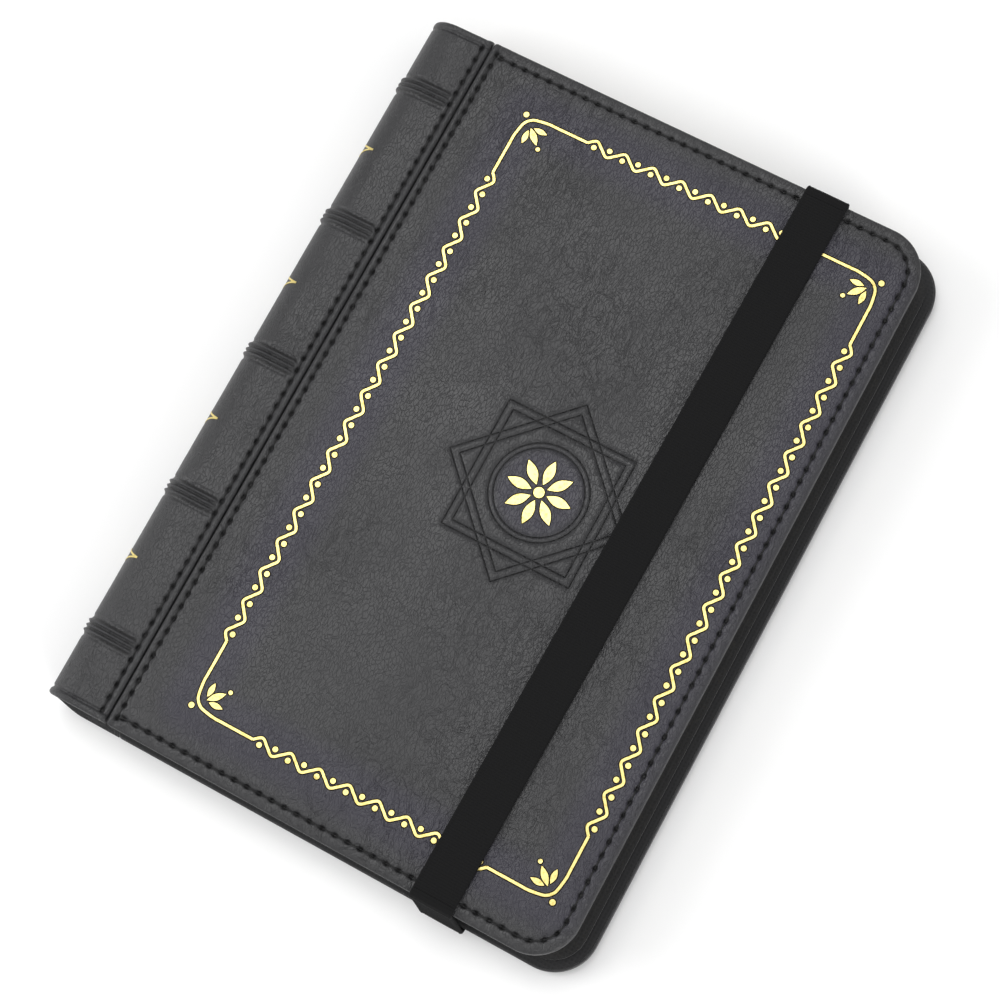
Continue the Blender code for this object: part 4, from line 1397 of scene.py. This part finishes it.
def leaf_block(name, low, high, sheets, rounds):
    """A section of leaves: sheet edges that stand in and out by a hair, square at the fold, round in front."""
    chance = random.Random(SEED + round(low.z * 10))
    corner = 3.0
    levels = []
    thick = high.z - low.z
    for sheet in range(sheets):
        inset = 0.03 + chance.random() * 0.1
        base = low.z + thick * sheet / sheets
        rise = thick / sheets
        levels += [(base + rise * 0.06, inset + 0.05), (base + rise * 0.28, inset), (base + rise * 0.85, inset)]
    levels[0] = (low.z, levels[0][1])
    levels[-1] = (high.z, levels[-1][1])
    points, faces = [], []
    turn = math.pi / 2
    for z, inset in levels:
        middle = abs(z - (low.z + high.z) / 2) / (thick / 2)
        fold = 0.45 * (1 - math.sqrt(max(0.0, 1 - middle**2 * 0.98)))
        x0, x1 = low.x + fold, high.x - inset
        y0, y1 = low.y + inset, high.y - inset
        ring = [(x0, y0), *corner_arc(x1 - corner, y0 + corner, corner, -turn, rounds)]
        ring += [*corner_arc(x1 - corner, y1 - corner, corner, 0, rounds), (x0, y1)]
        first = len(points)
        points += [(x, y, z) for x, y in ring]
        if first:
            faces += band_between(first - len(ring), first, len(ring))
    count = len(points) // len(levels)
    faces.append(list(reversed(range(count))))
    faces.append(list(range(len(points) - count, len(points))))
    return mesh_object(name, points, faces, smooth=False)


# ------------------------------------------------------------------ operators


class LOGBOOK_OT_finishes(bpy.types.Operator):
    """Make the finishes and dress the frame nodes that keep their shape"""

    bl_idname = "logbook.finishes"
    bl_label = "Finishes"

    def execute(self, context):
        FINISHES.update(make_finishes())
        kept = {
            "lining": ("front_cover_lining", "back_cover_lining", "front_pocket", "back_pocket"),
            "foam": ("front_cover_foam", "back_cover_foam"),
            "greyboard": ("front_cover_board", "back_cover_board"),
            "card": ("front_card", "rear_card"),
            "stiffener": ("spine_stiffener",),
            "linen_thread": ("sewing_thread",),
        }
        for slot, names in kept.items():
            for name in names:
                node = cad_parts[name]
                node.data.materials.clear()
                node.data.materials.append(FINISHES[slot])
        return {"FINISHED"}


class LOGBOOK_OT_covers(bpy.types.Operator):
    """Make the padded front and back leather with the pressed medallion"""

    bl_idname = "logbook.covers"
    bl_label = "Padded covers"

    def execute(self, context):
        front = front_face()
        made = dress(panel_mesh("front_leather", front, foil_halo), "leatherette")
        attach(made, "front_cover")
        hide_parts("front_cover_leather")
        back = dress(panel_mesh("back_leather", back_face()), "leatherette")
        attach(back, "back_cover")
        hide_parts("back_cover_leather")
        return {"FINISHED"}


def front_face():
    """The front cover's outer face, with the medallion pressed in it."""
    return CoverFace(FRONT_LOW, FRONT_HIGH, FRONT_HIGH.z, 1, medallion_lines())


def back_face():
    """The back cover's outer face, plain, and set so that it rests on the floor."""
    rest = bpy.context.scene.logbook_cover.puff / MM + 0.06
    return CoverFace(BACK_LOW, BACK_HIGH, BACK_LOW.z + rest, -1, highest=rest)


def foil_halo(x, y):
    """How strongly the hot stamp tints the leather at a place."""
    x0, x1 = BORDER_LOW.x + 2.2, BORDER_HIGH.x - 2.2
    y1 = BORDER_HIGH.y - 2.2
    if x0 < x < x1 and abs(y) < y1:
        away = min(x - x0, x1 - x, y1 - abs(y))
    else:
        away = math.hypot(max(x0 - x, x - x1, 0.0), max(abs(y) - y1, 0.0))
    cx, cy = MEDALLION_CENTRE
    middle = math.hypot(x - cx, y - cy)
    return max(1 - ease(away, 3.5, 11.0), 1 - ease(middle, 9.0, 13.5)) * 0.6


class LOGBOOK_OT_spine(bpy.types.Operator):
    """Make the banded spine leather and its lining, in front and back halves"""

    bl_idname = "logbook.spine"
    bl_label = "Spine"

    def execute(self, context):
        curve = SpineCurve()
        low, high = box_mm("spine_lining")
        for side, word in ((1, "front"), (-1, "back")):
            leather = dress(spine_half("spine_leather_" + word, curve, side), "leatherette")
            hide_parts("spine_leather")
            bend_spine(leather)
            # A little nearer the leather than in the frame, so that the opened book's card clears its fold
            depth = low.x - curve.outer_x - 0.18
            reach = curve.reach - (curve.seam_x - high.x)
            lining = round_sheet("spine_lining_" + word, curve, side, depth, 0.3, reach, high.y)
            dress(lining, "lining")
            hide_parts("spine_lining")
            bend_spine(lining)
        return {"FINISHED"}


class LOGBOOK_OT_stitching(bpy.types.Operator):
    """Sew the covers' edges and both sides of each hinge"""

    bl_idname = "logbook.stitching"
    bl_label = "Stitching"

    def execute(self, context):
        rows = context.scene.logbook_stitching
        sizes = context.scene.logbook_cover
        tree = stitch_tree()
        curve = SpineCurve()
        sink = rows.thread_height / MM * 0.1
        for word, face in (("front", front_face()), ("back", back_face())):
            body = word + "_cover"
            total = face.path_length(face.edge_row)
            edge_pitch = total / face.edge_count
            trimmed = self.trim(face.edge_row, edge_pitch / 2)
            base = face.face_z + face.up * (0.0 - face.channel + sink)
            edge = sew(word + "_edge_stitches", [[(x, y, base) for x, y in trimmed]], edge_pitch * MM, tree)
            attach(edge, body)
            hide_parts(word + "_edge_stitching")
            seam_pitch = 2 * face.seam_end / face.seam_count
            stop = face.seam_end - seam_pitch / 2
            x = face.low.x + face.seam_inset
            panel_row = [(x, stop, base), (x, -stop, base)]
            along = curve.reach - sizes.spine_inset / MM
            stop_spine = curve.half - 3.0 - seam_pitch / 2
            lift = sink - face.channel
            spine_row = [curve.at(along, y, lift, face.up) for y in (stop_spine, -stop_spine)]
            seam = sew(word + "_seam_stitches", [panel_row, spine_row], seam_pitch * MM, tree)
            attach(seam, body)
            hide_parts(word + "_seam_stitching")
        return {"FINISHED"}

    @staticmethod
    def trim(path, amount):
        """The path without this length at each end."""
        for _ in range(2):
            left = amount
            while left > math.dist(path[0], path[1]):
                left -= math.dist(path[0], path[1])
                path = path[1:]
            share = left / math.dist(path[0], path[1])
            (x0, y0), (x1, y1) = path[0], path[1]
            path = [(x0 + (x1 - x0) * share, y0 + (y1 - y0) * share), *path[1:]]
            path = path[::-1]
        return path


class LOGBOOK_OT_foil(bpy.types.Operator):
    """Stamp the gold border, its corners, the rosette and the spine's open diamonds"""

    bl_idname = "logbook.foil"
    bl_label = "Gold foil"

    def execute(self, context):
        foil = context.scene.logbook_foil
        lift, rim = foil.lift / MM, foil.rim / MM
        front = front_face()

        def over(extra):
            """A surface this far over the front leather."""
            return lambda x, y: (x, y, front.surface(x, y) + extra)

        cx, cy = MEDALLION_CENTRE
        flat, faces = flat_union(rosette_shapes())
        flat = [(x + cx, y + cy) for x, y in flat]
        rosette = dress(sheet_solid("gold_rosette", flat, faces, over(lift), over(-0.02), rim), "gold_foil")
        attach(rosette, "front_cover")
        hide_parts("foil_rosette")

        x0, x1 = BORDER_LOW.x + BORDER_INSET, BORDER_HIGH.x - BORDER_INSET
        y1 = BORDER_HIGH.y - BORDER_INSET
        flat, faces = flat_union(corner_shapes())
        for sx in (-1, 1):
            for sy in (-1, 1):
                hx = (x1 if sx > 0 else x0) - sx * CORNER_SET
                hy = sy * (y1 - CORNER_SET)
                root = math.sqrt(0.5)
                placed = [(hx + sx * (d - e) * root, hy + sy * (d + e) * root) for d, e in flat]
                kept = faces if sx * sy > 0 else flipped(faces)
                word = ("tail" if sy < 0 else "head") + ("_fore" if sx > 0 else "_spine")
                corner = sheet_solid("gold_corner_" + word, placed, kept, over(lift), over(-0.02), rim)
                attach(dress(corner, "gold_foil"), "front_cover")
                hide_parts("foil_border")

        flat, faces = flat_union(wave_shapes())
        motif = sheet_solid(
            "wave_stretch", flat, faces, lambda x, y: (x, y, lift), lambda x, y: (x, y, -0.02), rim
        )
        tree = border_tree()
        sides = (
            ("head", (x0 + CORNER_REACH, y1), (x1 - CORNER_REACH, y1), foil.end_motifs),
            ("fore", (x1, y1 - CORNER_REACH), (x1, CORNER_REACH - y1), foil.side_motifs),
            ("tail", (x1 - CORNER_REACH, -y1), (x0 + CORNER_REACH, -y1), foil.end_motifs),
            ("spine", (x0, CORNER_REACH - y1), (x0, y1 - CORNER_REACH), foil.side_motifs),
        )
        for word, start, end, count in sides:
            start, end = Vector(start), Vector(end)
            # The motif's outer side is its left, so each side runs clockwise
            cell = (end - start).length / count
            step = (end - start).normalized() * cell / 2
            path = [(*(start + step), 0.0), (*(end - step), 0.0)]
            values = {
                "Motif": motif,
                "Motifs": count,
                "Stretch": cell / STRETCH_LENGTH,
                "Foil": FINISHES["gold_foil"],
            }
            side = grow(path_object("gold_scrolls_" + word, [path]), tree, values)
            for vertex in side.data.vertices:
                vertex.co.z += front.surface(vertex.co.x / MM, vertex.co.y / MM) * MM
            side.data.polygons.foreach_set("use_smooth", [False] * len(side.data.polygons))
            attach(dress(side, "gold_foil"), "front_cover")
            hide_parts("foil_border")
        bpy.data.objects.remove(motif)
        self.diamonds(lift)
        return {"FINISHED"}

    @staticmethod
    def diamonds(lift):
        """Open diamonds between the bands, in halves laid on the leather's section."""
        curve = SpineCurve()
        half_high, half_round, line = 3.0, 10.2, 0.27
        gaps = [(a + b) / 2 for a, b in zip(curve.bands, curve.bands[1:])]
        for index, middle in enumerate(gaps, start=1):
            for side, word in ((1, "front"), (-1, "back")):
                shapes = []
                for end in (-1, 1):
                    shares = [step / 16 for step in range(17)]
                    steps = [(half_round * t, end * (half_high - line) * (1 - t) ** 1.4) for t in shares]
                    shapes += [
                        [(a0, y0 - line), (a1, y1 - line), (a1, y1 + line), (a0, y0 + line)]
                        for (a0, y0), (a1, y1) in zip(steps, steps[1:])
                    ]
                flat, faces = flat_union(shapes)
                faces = flipped(faces) if side > 0 else faces
                mark = sheet_solid(
                    f"spine_diamond_{index}_{word}",
                    flat,
                    faces,
                    lambda a, y: curve.at(a, middle + y, lift + 0.03, side),
                    lambda a, y: curve.at(a, middle + y, -0.05, side),
                )
                dress(face_outwards(mark), "gold_foil")
                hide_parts(f"spine_foil_mark_{index}")
                bend_spine(mark)


class LOGBOOK_OT_strap(bpy.types.Operator):
    """Weave the elastic strap: its run over the front cover and the two arms sewn in the back cover"""

    bl_idname = "logbook.strap"
    bl_label = "Elastic strap"

    def execute(self, context):
        half = STRAP_WIDTH / 2
        x_tail, x_head = RUN_LOW.x + half, RUN_HIGH.x - half
        z = (RUN_LOW.z + RUN_HIGH.z) / 2
        steps = [(step / 24) for step in range(25)]
        path = [(x_tail + (x_head - x_tail) * t, RUN_LOW.y + (RUN_HIGH.y - RUN_LOW.y) * t, z) for t in steps]
        run = dress(strap_mesh("elastic_run", path), "elastic")
        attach(run, "strap")
        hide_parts("strap_run")
        for sign, word, x in ((1, "head", x_head), (-1, "tail", x_tail)):
            arm = dress(strap_mesh("elastic_arm_" + word, arm_path(sign, x)), "elastic")
            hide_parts("strap_arm_" + word)
            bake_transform(arm)
        return {"FINISHED"}


class LOGBOOK_OT_leaves(bpy.types.Operator):
    """Stack the leaves in their four sections, with the cloth that joins the folds"""

    bl_idname = "logbook.leaves"
    bl_label = "Leaves"

    def execute(self, context):
        bodies = ("first_leaves", "second_leaves", "third_leaves", "back_cover")
        for index, body in enumerate(bodies, start=1):
            low, high = box_mm(f"leaf_section_{index}")
            block = dress(leaf_block(f"leaves_{index}", low, high, 10, 6), "paper")
            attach(block, body)
            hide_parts(f"leaf_section_{index}")
        low, high = box_mm("spine_tape")
        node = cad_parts["spine_tape"]
        tape = bpy.data.objects.new("fold_cloth", node.data.copy())
        context.scene.collection.objects.link(tape)
        form = bmesh.new()
        form.from_mesh(tape.data)
        bmesh.ops.remove_doubles(form, verts=form.verts, dist=1e-6)
        bmesh.ops.subdivide_edges(form, edges=form.edges, cuts=2, use_grid_fill=True)
        form.to_mesh(tape.data)
        form.free()
        dress(tape, "spine_cloth")
        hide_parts("spine_tape")
        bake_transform(tape)
        return {"FINISHED"}


class LOGBOOK_OT_stage(bpy.types.Operator):
    """Set the pale floor, the soft lights and the camera"""

    bl_idname = "logbook.stage"
    bl_label = "Stage"

    def execute(self, context):
        floor = mesh_object(
            "floor", [(-3000, -3000, 0), (3000, -3000, 0), (3000, 3000, 0), (-3000, 3000, 0)], [[0, 1, 2, 3]]
        )
        finish, tree, shader, place = new_finish("matt_paper_floor")
        mottle = add(tree, "ShaderNodeTexNoise", inputs={"Vector": place, "Scale": per_mm(60)})
        tone = add(
            tree,
            "ShaderNodeMix",
            {"data_type": "RGBA"},
            {0: mottle.outputs["Fac"], 6: linear("#f4f4f4"), 7: linear("#f8f8f8")},
        ).outputs[2]
        tree.links.new(tone, shader.inputs["Base Color"])
        shader.inputs["Roughness"].default_value = 0.9
        floor.data.materials.append(finish)

        world = context.scene.world or bpy.data.worlds.new("studio")
        context.scene.world = world
        world.use_nodes = True
        world.node_tree.nodes["Background"].inputs["Color"].default_value = linear("#ffffff")
        world.node_tree.nodes["Background"].inputs["Strength"].default_value = 0.62
        context.scene.view_settings.view_transform = "Standard"

        self.area_light(context, "overhead_softbox", (-0.35, 0.32, 1.5), 0.9, 9)
        self.area_light(context, "side_softbox", (-1.3, -0.5, 0.9), 0.9, 10)
        self.area_light(context, "fill_softbox", (1.3, -0.7, 0.7), 0.9, 9)

        camera = bpy.data.objects.new("camera", bpy.data.cameras.new("camera"))
        context.scene.collection.objects.link(camera)
        camera.data.lens = 84.6
        camera.data.sensor_width = 36
        camera.data.clip_start = 0.01
        right = Vector((0.87364, 0.47745, -0.09376))
        up = Vector((-0.44754, 0.86412, 0.23022))
        back = Vector((0.19094, -0.15916, 0.96861))
        turn = Matrix((right, up, back)).transposed().to_4x4()
        camera.matrix_world = Matrix.Translation((0.12283, -0.10543, 0.62226)) @ turn
        context.scene.camera = camera
        return {"FINISHED"}

    @staticmethod
    def area_light(context, name, place, size, power):
        """A square softbox that faces the book."""
        light = bpy.data.lights.new(name, "AREA")
        light.shape = "SQUARE"
        light.size = size
        light.energy = power
        obj = bpy.data.objects.new(name, light)
        context.scene.collection.objects.link(obj)
        obj.location = place
        obj.rotation_euler = Vector(place).to_track_quat("Z", "Y").to_euler()
        return obj


class LOGBOOK_PT_panel(bpy.types.Panel):
    """Lists the logbook's pieces and sizes"""

    bl_idname = "LOGBOOK_PT_panel"
    bl_label = "Logbook"
    bl_space_type = "VIEW_3D"
    bl_region_type = "UI"
    bl_category = "Logbook"

    def draw(self, context):
        layout = self.layout
        for operator in OPERATORS:
            layout.operator(operator.bl_idname)
        for name in GROUPS:
            settings = getattr(context.scene, name)
            box = layout.box()
            box.label(text=type(settings).__name__)
            for key in type(settings).__annotations__:
                box.prop(settings, key)


GROUPS = {
    "logbook_cover": LogbookCover,
    "logbook_stitching": LogbookStitching,
    "logbook_foil": LogbookFoil,
    "logbook_strap": LogbookStrap,
    "logbook_colours": LogbookColours,
}
OPERATORS = (
    LOGBOOK_OT_finishes,
    LOGBOOK_OT_covers,
    LOGBOOK_OT_spine,
    LOGBOOK_OT_stitching,
    LOGBOOK_OT_foil,
    LOGBOOK_OT_strap,
    LOGBOOK_OT_leaves,
    LOGBOOK_OT_stage,
)


def register():
    """Register the classes and attach the settings to the scene."""
    for cls in (*GROUPS.values(), *OPERATORS, LOGBOOK_PT_panel):
        bpy.utils.register_class(cls)
    for name, group in GROUPS.items():
        setattr(bpy.types.Scene, name, bpy.props.PointerProperty(type=group))


def unregister():
    """Take the settings and classes away again."""
    for name in GROUPS:
        delattr(bpy.types.Scene, name)
    for cls in reversed((*GROUPS.values(), *OPERATORS, LOGBOOK_PT_panel)):
        bpy.utils.unregister_class(cls)


def main():
    """Make every piece in order."""
    register()
    for operator in OPERATORS:
        group, name = operator.bl_idname.split(".")
        getattr(getattr(bpy.ops, group), name)()


if __name__ == "__main__":
    main()
